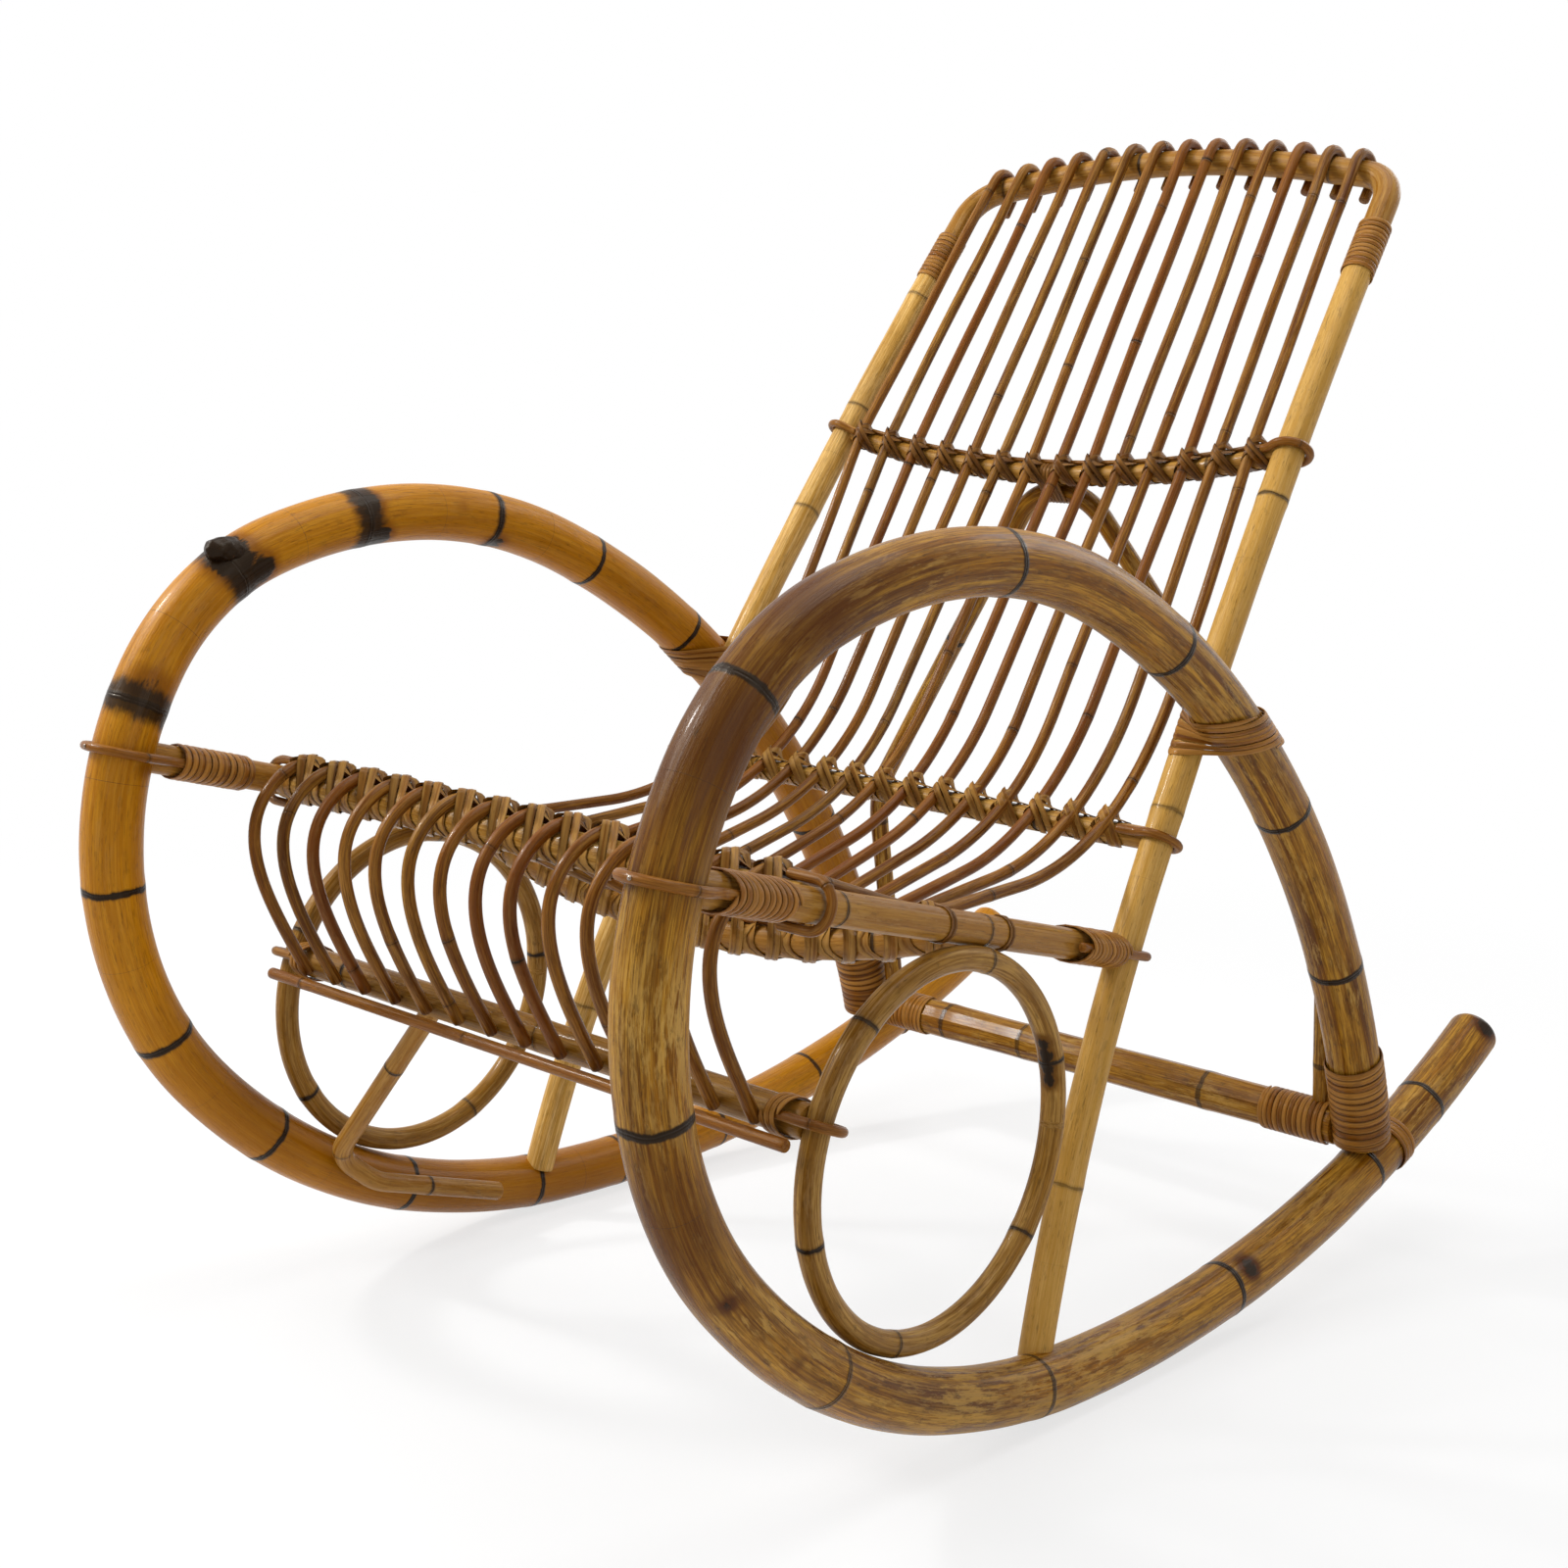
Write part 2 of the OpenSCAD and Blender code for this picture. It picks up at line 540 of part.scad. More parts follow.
// Where a cane passes its spot k: the point, its direction and its radius
function cane_at(path, k) = let(
        s = path[1][k], h = path[2], m = unit(left_of(h[k - 1]) + left_of(h[k])),
        q = s[0] - m * s[1], w = (h[k - 1] + h[k]) / 2,
        dx = (path[0][k + 1] - path[0][k - 1]) / norm(path[1][k + 1][0] - path[1][k - 1][0]))
    [[path[0][k], q[0], q[1]], unit([dx, cos(w), sin(w)]), cane_r + (k == 3 ? 0.4 : 0.1)];

module long_cane(i) {
    path = cane_path(i);
    xs = path[0];
    spots = path[1];
    h = path[2];
    offs = path[3];
    xt = xs[0];
    hook = spots[0][1];
    n = len(spots);
    l = left_of(h[0]);
    over = [xt, top_yz(xt)[0] - l[0] * hook, top_yz(xt)[1] - l[1] * hook];
    under = [xt, top_yz(xt)[0] + l[0] * hook, top_yz(xt)[1] + l[1] * hook];
    back = [0, cos(h[0]), sin(h[0])];
    inner = [for (k = [1:n - 2]) let(m = left_of(h[k - 1]) + left_of(h[k]),
        q = spots[k][0] - m * offs[k] / (1 + left_of(h[k - 1]) * left_of(h[k]))) [xs[k], q[0], q[1]]];
    end = low_front - left_of(h[n - 2]) * spots[n - 1][1] + [cos(h[n - 2]), sin(h[n - 2])] * 3;
    color("burlywood") pose() union() {
        rod(under + back * 0.2, under + back * 16, cane_d);
        node_ring(under, back, cane_d);
        ring_part(under, -back, [0, -l[0], -l[1]], hook, 180, cane_d, 0.2);
        bent(concat([over], inner, [[xs[n - 1], end[0], end[1]]]),
             concat([0], [for (k = [1:n - 2]) spots[k][2]], [0]), cane_d, true);
    }
}

// Where two crossed rods, each a point, a direction and a radius, lie nearest
function feet(a, b) = let(d = b[0] - a[0], k = a[1] * b[1], s = (d * a[1] - k * (d * b[1])) / (1 - k * k))
    [a[0] + a[1] * s, b[0] + b[1] * (k * s - d * b[1])];

// Frame for what is wound round two crossed rods: Z halves the angle between them, and
// $es holds their slanting sections
module crossed(a, b, way) {
    f = feet(a, b);
    ex = unit(f[1] - f[0]);
    ez = unit(b[1] + a[1] * way);
    ey = cross(ez, ex);
    $es = [for (r = [[norm(f[1] - f[0]), b[1], b[2]], [0, a[1], a[2]]])
        [r[0], 0, r[2], r[2] / abs(r[1] * ez), (r[1] * ey) / (r[1] * ez)]];
    along(f[0], ez, ex) children();
}

// A closed lashing of spot k of every long cane round the rod that it passes
module cane_lashings(k) color("saddlebrown") pose()
    for (i = [1:canes]) {
        path = cane_path(i);
        x = path[0][k];
        p = path[1][k][0];
        t = k == 1 ? sag_slope(x, mid_at[0], mid_sag) : k == 3 ? sag_slope(x, dish_at[0], dish_sag) : 0;
        go = [cos(t), 0, 0] - (k == 1 ? mid_down : [0, 0, -1]) * sin(t);
        crossed([[x, p[0], p[1]], go, [0, mid_r, low_r, dish_r, front_r][k]], cane_at(path, k), x > 0 ? 1 : -1)
            lash($es, [4, 8]);
    }

module hoop_right() color("peru") pose() hoop();
module hoop_left() color("peru") pose() left() hoop();
module post_right() color("goldenrod") pose() post();
module post_left() color("goldenrod") pose() left() post();
module side_rail_right() color("goldenrod") pose() side_rail();
module side_rail_left() color("goldenrod") pose() left() side_rail();
module ring_right() color("goldenrod") pose() ring();
module ring_left() color("goldenrod") pose() left() ring();

module top_rail() color("goldenrod") pose()
    bent([top_start + top_go * gap, top_corner, top_mid, mirror_x(top_corner), mirror_x(top_start + top_go * gap)],
         [0, corner_r, top_bend_r, corner_r, 0], top_d);

module mid_back_rail() color("goldenrod") pose() difference() {
    sagging(mid_at, mid_down, mid_sag, mid_d);
    both() post_cut(mid_h);
}

module low_back_rail() color("goldenrod") pose() difference() {
    rod(mirror_x(low_at), low_at, low_d);
    both() post_cut(low_h);
}

module front_seat_rail() color("goldenrod") pose() difference() {
    rod(mirror_x(front_at), front_at, front_d);
    both() side_cut(front_y);
}

module dished_seat_rail() color("goldenrod") pose() difference() {
    sagging(dish_at, [0, 0, -1], dish_sag, dish_d);
    both() side_cut(dish_y);
    both() translate([dish_at[0] + 1, dish_y - 30, dish_at[2] - 40]) cube([20, 60, 60]);
}

module low_front_rail() color("goldenrod") pose() difference() {
    p = [ring_x, low_front[0], low_front[1]];
    v = [0, -ring_out[1], ring_out[0]] * 50;
    rod(mirror_x(p), p, low_front_d);
    both() rod(p - v, p + v, ring_d + 6 * gap);
}

module front_strip() color("goldenrod") pose() {
    q = low_front + unit([-0.92, -0.4]) * (low_front_r + cane_d + strip_r + 2 * gap);
    rod([4 - ring_x, q[0], q[1]], [ring_x - 4, q[0], q[1]], strip_d);
}

module rear_stretcher() color("peru") pose() {
    x = half - pole_r - gap;
    rod([-x, stretcher_at[0], stretcher_at[1]], [x, stretcher_at[0], stretcher_at[1]], stretcher_d);
}

arch_foot_x = half - pole_r - arch_d / 2 - peel_t - 4;
arch_top = mid_yz(0) + (mid_r + arch_d / 2 + 3.2) * unit([0.75, -0.66]);
arch_leg = [arch_foot_x + 6, 100, -(arch_foot_x + 6) * tan(54)];
arch_peak = arch_top - arch_r * (norm(arch_leg) / arch_leg[0] - 1) * unit([arch_leg[1], arch_leg[2]]);
module back_arch() color("peru") pose() difference() {
    p1 = [0, arch_peak[0], arch_peak[1]];
    p2 = p1 + arch_leg;
    p3 = [arch_foot_x, stretcher_at[0] + 3, stretcher_at[1]];
    bent([p3, p2, p1, mirror_x(p2), mirror_x(p3)], [0, 100, arch_r, 100, 0], arch_d);
    rod([-half, stretcher_at[0], stretcher_at[1]], [half, stretcher_at[0], stretcher_at[1]],
        stretcher_d + 2 * peel_t + 6 * gap);
}

brace_x = half - pole_r - brace_r - gap;
module front_brace() color("goldenrod") pose() difference() {
    bent([[-brace_x, -92, runner_z(-92) + 4], [-brace_x, -225, runner_z(-225) + 2],
          [-brace_x, -266, runner_z(-266) + 14],
          [-108, low_front[0] + 8, low_front[1]]],
         [0, 60, 22, 0], brace_d);
    rod([-200, low_front[0], low_front[1]], [0, low_front[0], low_front[1]], low_front_d + 2 * gap);
    translate([-200, low_front[0] - 40, low_front[1] - 2]) cube([200, 80, 40]);
}

side_host = post_r + 0.9;
module hoop_loops() color("goldenrod") pose() both()
    hairpin_at(side_a, side_dir, [1, 0, 0], pole_r + 0.2, side_r, 102);

module side_post_loops() color("goldenrod") pose() both()
    hairpin_at(side_b, -side_dir, [1, 0, 0], side_host, side_r, 92);

module mid_post_loops() color("goldenrod") pose() both()
    hairpin_at(mid_at, [-cos(mid_turn), 0, 0] + mid_down * sin(mid_turn),
               cross(post_dir(mid_h), [1, 0, 0]), post_r, mid_r, 18);

module low_post_loops() color("goldenrod") pose() both()
    hairpin_at(low_at, [-1, 0, 0], cross(post_dir(low_h), [1, 0, 0]), post_r, low_r, 30);

module front_rail_loops() color("goldenrod") pose() both()
    hairpin_at(front_at, [-1, 0, 0], side_up, side_r, front_r, 23);

module ring_loops() color("goldenrod") pose() both()
    hairpin_at([ring_x, low_front[0], low_front[1]], [-1, 0, 0], [0, ring_out[0], ring_out[1]],
               ring_rr, low_front_r, 26);

module dished_rail_bands() color("sienna") pose() both()
    for (y = [min(ring_top_y, dish_y) - 34, max(ring_top_y, dish_y) + 34])
        along(side_at(y), side_dir, [1, 0, 0])
            lash([[0, 0, side_r, side_r]], even(12));

// Sections of a pole and the hairpin legs on its two sides
function legged(pole, off) = [[0, 0, pole, pole], [off, 0, loop_r, loop_r], [-off, 0, loop_r, loop_r]];

module side_front_windings() color("tan") pose() both() {
    es = legged(side_r, leg_off(pole_r + 0.2, side_r));
    along(side_a + side_dir * 71, side_dir, [1, 0, 0]) winding(es, with_legs(es), 9.5, 0, 12);
}

module side_back_windings() color("tan") pose() both() {
    es = legged(side_r, leg_off(side_host, side_r));
    along(side_b - side_dir * 55, side_dir, [1, 0, 0]) winding(es, with_legs(es), 9, 0, 12);
}

module low_front_windings() color("tan") pose() both() {
    es = legged(low_front_r, leg_off(ring_rr, low_front_r));
    along([ring_x - 18.5 - peel_step, low_front[0], low_front[1]], [1, 0, 0], [0, ring_out[0], ring_out[1]])
        winding(es, with_legs(es), 2, 0, 12);
}

module stretcher_windings() color("tan") pose() both()
    along([half - pole_r - 35, stretcher_at[0], stretcher_at[1]], [1, 0, 0], [0, 0, 1])
        winding([[0, 0, stretcher_r, stretcher_r]], even(14), 9.5);

module corner_windings() color("tan") pose() both()
    along(top_start, top_go, [1, 0, 0])
        winding([[0, 0, max(post_r, top_r), max(post_r, top_r)]], even(12), 8, 0, 12);

module hoop_end_windings() color("tan") pose() both() {
    foot = hoop_states[len(hoop_steps) - 1];
    s = step_on([foot[0], foot[1], foot[2] + 180], [2.3, hoop_steps[len(hoop_steps) - 2][1]]);
    along([half, s[0], s[1]], [0, cos(s[2]), sin(s[2])], [0, sin(s[2]), -cos(s[2])])
        winding([[0, 0, pole_r + 1.2, pole_r + 0.4]], even(14), 8);
}

module tail_windings() color("tan") pose() both() {
    y = hoop_end[0] + 47;
    s = step_on(tail_start, [asin(sin(rest_turn) + (y - tail_start[0]) / tail_r) - rest_turn, tail_r]);
    along([half, s[0], s[1]], [0, cos(s[2]), sin(s[2])], [0, -sin(s[2]), cos(s[2])])
        winding([[0, 0, pole_r + 0.1, pole_r]], even(14), 3);
}

// The lashing where post and hoop cross, its turns along the line that halves their angle
module arm_lashings() color("tan") pose() both() {
    arm = at_height(rear_samples, cross_z);
    crossed([post_at(cross_z), post_dir(cross_z), post_r - 0.3],
            [[half, arm[0], cross_z], [0, cos(arm[2]), sin(arm[2])], pole_r + 1.8], -1)
        winding($es, [8, 6], 3, 0, 13);
}

module arch_lashing() color("saddlebrown") pose() {
    out = unit(arch_top - mid_yz(0));
    es = [[mid_r + arch_d / 2 + 3.2, 0, arch_d / 2 + 0.3, arch_d / 2 + 0.3], [0, 0, mid_r, mid_r]];
    for (s = [-1, 1])
        along([s * 2.6, mid_yz(0)[0], mid_yz(0)[1]], [1, 0, 0], [0, out[0], out[1]]) lash(es, [6, 6]);
}

module mid_lashings() cane_lashings(1);
module low_lashings() cane_lashings(2);
module dished_lashings() cane_lashings(3);
module front_lashings() cane_lashings(4);

hoop_right();
hoop_left();
post_right();
post_left();
top_rail();
mid_back_rail();
low_back_rail();
front_seat_rail();
dished_seat_rail();
low_front_rail();
front_strip();
rear_stretcher();
side_rail_right();
side_rail_left();
ring_right();
ring_left();
back_arch();
front_brace();
for (i = [1:canes]) long_cane(i);
hoop_loops();
side_post_loops();
mid_post_loops();
low_post_loops();
front_rail_loops();
ring_loops();
dished_rail_bands();
hoop_end_windings();
tail_windings();
side_front_windings();
side_back_windings();
corner_windings();
stretcher_windings();
low_front_windings();
arm_lashings();
arch_lashing();
mid_lashings();
low_lashings();
front_lashings();
dished_lashings();
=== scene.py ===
"""Rocking chair of bent rattan poles: the visual model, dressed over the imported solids.

The layout repeats the sizes and the steps of the part's source in millimetres, in the
upright working pose; every finished mesh is then leaned to its rest pose, in metres.
"""

import logging
import math
import random
from dataclasses import dataclass, field
from enum import Enum, IntEnum
from functools import cache
from typing import Callable, ClassVar, Optional, Sequence

import bmesh
import bpy
import numpy as np
from mathutils import Matrix

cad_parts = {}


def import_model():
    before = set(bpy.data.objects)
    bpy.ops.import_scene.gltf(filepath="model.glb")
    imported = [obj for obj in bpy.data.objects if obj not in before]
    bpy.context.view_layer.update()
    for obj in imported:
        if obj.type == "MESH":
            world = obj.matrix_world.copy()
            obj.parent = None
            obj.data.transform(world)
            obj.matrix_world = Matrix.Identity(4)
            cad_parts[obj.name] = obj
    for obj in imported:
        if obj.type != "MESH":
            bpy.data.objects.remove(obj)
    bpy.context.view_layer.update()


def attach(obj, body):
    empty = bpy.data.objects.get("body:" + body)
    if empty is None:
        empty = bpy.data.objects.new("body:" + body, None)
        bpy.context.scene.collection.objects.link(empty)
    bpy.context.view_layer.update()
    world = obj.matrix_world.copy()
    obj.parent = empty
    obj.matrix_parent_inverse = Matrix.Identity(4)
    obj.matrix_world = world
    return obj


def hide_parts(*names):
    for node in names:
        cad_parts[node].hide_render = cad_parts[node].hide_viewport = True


log = logging.getLogger("rocking_chair")
Array = np.ndarray
State = tuple[float, float, float]
Colour = tuple[float, float, float]


class Slot(Enum):
    """Material slots of the record."""

    POLE = "pole"
    RAIL = "rail"
    SPINDLE = "spindle"
    PEEL = "peel"
    DARK_PEEL = "dark_peel"


class Side(Enum):
    """The two sides of the chair: the sign of X."""

    RIGHT = 1
    LEFT = -1


class Pass(IntEnum):
    """The spots that a long cane passes, from its hook to its end."""

    TOP = 0
    MIDDLE = 1
    LOW = 2
    DISHED = 3
    FRONT = 4
    ROLL = 5
    END = 6


# --- vectors

def vec(*values: float) -> Array:
    """Return the values as one vector."""
    return np.array(values, dtype=float)


FLIP = vec(-1, 1, 1)


def unit(v: Array) -> Array:
    """Return the vector at length one."""
    return v / np.linalg.norm(v)


def step_on(p: State, turn: float, radius: float) -> State:
    """Follow one arc in the YZ plane.

    Args:
        p: Start as y, z and heading in degrees.
        turn: Turn of the arc in degrees, positive to the left.
        radius: Radius of the arc.

    Returns:
        The end of the arc as y, z and heading.
    """
    q = 1 if turn > 0 else -1
    h, a = math.radians(p[2]), math.radians(p[2] + turn)
    return (p[0] - q * radius * (math.sin(h) - math.sin(a)),
            p[1] + q * radius * (math.cos(h) - math.cos(a)), p[2] + turn)


def chain(p: State, steps: Sequence[tuple[float, float]], pitch: float = 4.0) -> list[State]:
    """Return closely set states along a chain of arcs.

    Args:
        p: Start as y, z and heading.
        steps: Turn and radius of each arc.
        pitch: Distance between the states.

    Returns:
        The states, with both ends.
    """
    out = [p]
    for turn, radius in steps:
        n = max(2, math.ceil(abs(math.radians(turn)) * radius / pitch))
        out += [step_on(p, turn * k / n, radius) for k in range(1, n + 1)]
        p = out[-1]
    return out


def filleted(points: Sequence[Array], bends: Sequence[float], pitch: float = 4.0) -> Array:
    """Return a path through the points, rounded at the inner ones.

    Args:
        points: Corners of the path.
        bends: Bend radius at each corner.
        pitch: Distance between the points on the arcs.

    Returns:
        The points of the rounded path.
    """
    out = [points[0]]
    for k in range(1, len(points) - 1):
        a, b = unit(points[k] - points[k - 1]), unit(points[k + 1] - points[k])
        t = math.acos(max(-1.0, min(1.0, float(a @ b))))
        leg = bends[k] * math.tan(t / 2)
        if t < 0.005 or leg < 0.05:
            out.append(points[k])
            continue
        n = unit(b - a * (a @ b))
        start = points[k] - a * leg
        m = max(3, math.ceil(bends[k] * t / pitch))
        out += [start + a * bends[k] * math.sin(t * i / m) + n * bends[k] * (1 - math.cos(t * i / m))
                for i in range(m + 1)]
    out.append(points[-1])
    return np.array(out)


def spread(path: Array, pitch: float) -> Array:
    """Return the path with points at an even distance of about the pitch.

    Args:
        path: Points of the path.
        pitch: About the distance between the new points.

    Returns:
        The new points.
    """
    s = np.concatenate([[0.0], np.cumsum(np.linalg.norm(np.diff(path, axis=0), axis=1))])
    keep = np.concatenate([[True], np.diff(s) > 1e-6])
    at = np.linspace(0.0, s[-1], max(3, math.ceil(s[-1] / pitch) + 1))
    return np.column_stack([np.interp(at, s[keep], path[keep, k]) for k in range(3)])


def length_of(path: Array) -> float:
    """Return the length of a path."""
    return float(np.linalg.norm(np.diff(path, axis=0), axis=1).sum())


# --- layout

@dataclass
class Layout:
    """Sizes and places of all rods, in millimetres, in the upright working pose."""

    pole_d: float = 46.0
    hoop_gap: float = 567.0
    runner_r: float = 660.0
    runner_turn: float = 14.0
    knee_r: float = 480.0
    tail_lead: float = 0.5
    tail_r: float = 1219.0
    tail_turn: float = 31.4
    rest_lean: float = 2.2
    rest_shift: float = -50.6347
    post_d: float = 25.0
    post_lean: float = 3.15
    post_foot: State = (-29.4, 26.0, 79.8)
    post_steps: tuple = ((-15.6, 1380.0), (-6.6, 5070.0))
    pivot_z: float = 50.0
    cross_z: float = 494.0
    top_d: float = 23.0
    top_bow_r: float = 900.0
    top_leg: float = 80.0
    top_back: float = 9.0
    corner_r: float = 34.0
    top_rise: float = 34.0
    mid_d: float = 17.0
    mid_h: float = 716.0
    mid_sag: float = 28.0
    low_d: float = 18.0
    low_h: float = 411.0
    arch_d: float = 18.0
    arch_r: float = 54.0
    arch_set: float = 3.2
    side_d: float = 23.0
    side_h: float = 420.0
    side_back_h: float = 329.0
    front_d: float = 25.0
    front_set: float = 140.0
    dish_d: float = 25.0
    dish_set: float = 316.0
    dish_sag: float = 46.0
    low_front_d: float = 24.0
    low_front_h: float = 255.0
    strip_d: float = 9.0
    stretcher_d: float = 36.0
    stretcher_shift: tuple = (-9.0, 12.0)
    ring_r: float = 131.0
    ring_d: float = 18.0
    ring_in: float = 6.0
    canes: int = 14
    cane_d: float = 9.5
    cane_inset: float = 31.0
    low_inset: float = 44.0
    front_inset: float = 34.0
    roll_out: float = 38.0
    roll_r: float = 30.0
    brace_d: float = 16.0
    loop_d: float = 7.0
    peel_t: float = 1.8
    gap: float = 0.3
    hoop_steps: tuple = (
        (-runner_turn, runner_r), (-30.0, knee_r), (-35.0, 280.0), (-36.5, 275.0), (-40.5, 196.0),
        (-42.0, 410.0), (-30.0, 750.0), (-17.0, 820.0), (-7.0, 420.0))

    def __post_init__(self) -> None:
        """Work out the places that follow from the sizes."""
        self.half = self.hoop_gap / 2
        self.pole_r, self.post_r = self.pole_d / 2, self.post_d / 2
        self.tail_start = step_on((0.0, self.pole_r, 0.0), self.tail_lead, self.runner_r)
        self.tail_end = step_on(self.tail_start, self.tail_turn, self.tail_r)
        turn = math.radians(self.tail_lead)
        self.tail_centre = (self.tail_start[0] - self.tail_r * math.sin(turn),
                            self.tail_start[1] + self.tail_r * math.cos(turn))
        self.hoop_line = chain((0.0, self.pole_r, 180.0), self.hoop_steps)
        self.hoop_end = self.hoop_line[-1]
        self.front_y = min(s[0] for s in self.hoop_line)
        self.post_line = chain(self.post_foot, self.post_steps, 2.0)
        lean = math.radians(self.post_lean)
        self.post_foot_x = (self.half - self.pole_r - self.post_r - self.gap
                            + (self.cross_z - self.pivot_z) * math.tan(lean))
        front = self.at_height([s for s in self.hoop_line if s[0] < -300], self.side_h)
        self.side_a = vec(self.half, front[0], self.side_h)
        self.side_b = self.post_at(self.side_back_h)
        self.side_dir = unit(self.side_b - self.side_a)
        self.rail_y = self.front_y + self.front_set
        self.front_at = self.side_at(self.rail_y)
        self.dish_y = self.front_y + self.dish_set
        self.dish_at = self.side_at(self.dish_y)
        self.set_ring()
        self.low_at, self.mid_at = self.post_at(self.low_h), self.post_at(self.mid_h)
        self.mid_down = unit(vec(0, 0.25, -0.97))
        self.top_z = self.pivot_z + (self.post_line[-1][1] - self.pivot_z) * math.cos(lean)
        self.top_start, self.top_go = self.post_at(self.top_z), self.post_dir(self.top_z)
        self.top_corner = self.top_start + self.top_go * self.top_leg
        self.top_mid = vec(0, self.top_corner[1] + self.top_back, self.top_corner[2] + self.top_rise)
        self.top_edge = unit(self.top_corner - self.top_mid)
        other = self.top_edge * FLIP
        self.top_bend = math.acos(-float(self.top_edge @ other)) / 2
        self.top_bis = unit(self.top_edge + other)
        self.top_centre = self.top_mid + self.top_bis * self.top_bow_r / math.cos(self.top_bend)
        self.stretcher_at = tuple(a + b for a, b in zip(self.hoop_end, self.stretcher_shift))
        self.arch_out = unit(vec(0.75, -0.66))
        self.arch_top = self.mid_yz(0) + (self.mid_d / 2 + self.arch_d / 2 + self.arch_set) * self.arch_out

    def set_ring(self) -> None:
        """Place each side ring between its runner and its side rail."""
        self.ring_x = self.half - self.ring_in
        rr, side_r = self.ring_d / 2, self.side_d / 2
        foot = math.sqrt((rr + self.pole_r + self.gap) ** 2 - self.ring_in ** 2)
        turn, nearer = math.radians(self.runner_turn), self.runner_r - self.knee_r
        centre = vec(-nearer * math.sin(turn), self.pole_r + self.runner_r - nearer * math.cos(turn))
        flat = unit(self.side_dir[1:])
        left = vec(-flat[1], flat[0])

        def find(y: float) -> Array:
            """Return the ring's middle, found under the side rail at depth y.

            Args:
                y: Depth at which the ring meets the rail.

            Returns:
                Y and Z of its middle.
            """
            dx = abs(self.side_at(y)[0] - self.ring_x)
            drop = self.ring_r + math.sqrt(max(0.01, (rr + side_r + self.gap) ** 2 - dx * dx))
            base = self.side_a[1:] - drop * left
            v = base - centre
            b = float(v @ flat)
            s = -b - math.sqrt(b * b - float(v @ v) + (self.knee_r - self.ring_r - foot) ** 2)
            return base + s * flat

        self.ring_at = find(find(self.dish_y)[0] + self.ring_r * left[0])
        self.ring_top_y = self.ring_at[0] + self.ring_r * left[0]
        y = self.ring_at[0] - math.sqrt(self.ring_r ** 2 - (self.low_front_h - self.ring_at[1]) ** 2)
        self.low_front = vec(y, self.low_front_h)
        self.ring_out = unit(self.low_front - self.ring_at)

    def pose(self, points: Array) -> Array:
        """Lean points (mm) to the rest pose and return them in metres.

        Args:
            points: One point or more.

        Returns:
            The points, one in each row.
        """
        p = np.atleast_2d(points)
        lean = math.radians(self.rest_lean)
        c, s = math.cos(lean), math.sin(lean)
        y, z = p[:, 1] - self.tail_centre[0], p[:, 2] - self.tail_centre[1]
        out = np.column_stack([p[:, 0], y * c + z * s + self.rest_shift,
                               -y * s + z * c + self.pole_r + self.tail_r])
        return out / 1000.0

    def turn(self, v: Array) -> Array:
        """Lean a direction.

        Args:
            v: The direction in the working pose.

        Returns:
            The direction at rest.
        """
        lean = math.radians(self.rest_lean)
        c, s = math.cos(lean), math.sin(lean)
        return vec(v[0], v[1] * c + v[2] * s, -v[1] * s + v[2] * c)

    @staticmethod
    def at_height(line: Sequence[State], z: float) -> State:
        """Return the state of a chain at height z."""
        s = min(line, key=lambda q: abs(q[1] - z))
        return s[0] + (z - s[1]) / math.tan(math.radians(s[2])), z, s[2]

    def post_state(self, z: float) -> State:
        """Return the post's own state where it is at height z."""
        c = math.cos(math.radians(self.post_lean))
        return self.at_height(self.post_line, self.pivot_z + (z - self.pivot_z) / c)

    def post_at(self, z: float) -> Array:
        """Return the middle of the right post at height z."""
        x = self.post_foot_x - (z - self.pivot_z) * math.tan(math.radians(self.post_lean))
        return vec(x, self.post_state(z)[0], z)

    def post_dir(self, z: float) -> Array:
        """Return the direction of the right post at height z."""
        h, lean = math.radians(self.post_state(z)[2]), math.radians(self.post_lean)
        return vec(-math.sin(h) * math.sin(lean), math.cos(h), math.sin(h) * math.cos(lean))

    def side_at(self, y: float) -> Array:
        """Return the middle of the right side rail at depth y."""
        a, b = self.side_a, self.side_b
        return a + (b - a) * (y - a[1]) / (b[1] - a[1])

    def runner_z(self, y: float) -> float:
        """Return the height of the runner's middle in front of its resting point."""
        return self.pole_r + self.runner_r - math.sqrt(self.runner_r ** 2 - y * y)

    @staticmethod
    def sag(x: float, half: float, sag: float) -> float:
        """Return how far a sagging rail lies under its ends at x."""
        r = (half * half + sag * sag) / (2 * sag)
        return sag - r + math.sqrt(r * r - x * x)

    @staticmethod
    def slope(x: float, half: float, sag: float) -> float:
        """Return the slope of a sagging rail at x, in radians."""
        return math.asin(x / ((half * half + sag * sag) / (2 * sag)))

    def mid_yz(self, x: float) -> Array:
        """Return y and z of the middle rail at x."""
        return self.mid_at[1:] + self.sag(x, self.mid_at[0], self.mid_sag) * self.mid_down[1:]

    def dish_z(self, x: float) -> float:
        """Return the height of the dished rail at x."""
        return self.dish_at[2] - self.sag(x, self.dish_at[0], self.dish_sag)

    def top_yz(self, x: float) -> Array:
        """Return y and z of the top rail at x.

        Args:
            x: Place across the chair.

        Returns:
            Y and Z.
        """
        if abs(x) > self.top_bow_r * math.sin(self.top_bend):
            return (self.top_mid + self.top_edge * abs(x / self.top_edge[0]))[1:]
        return (self.top_centre - self.top_bis * math.sqrt(self.top_bow_r ** 2 - x * x))[1:]

    def lane(self, i: int, w: float) -> float:
        """Return x of long cane i where the outer canes lie at w."""
        return (i - (self.canes + 1) / 2) * 2 * w / (self.canes - 1)

    @staticmethod
    def across(reach: float, yz: Sequence[float]) -> Array:
        """Return the route of a straight rail across the chair."""
        return np.array([vec(-reach, *yz), vec(reach, *yz)])


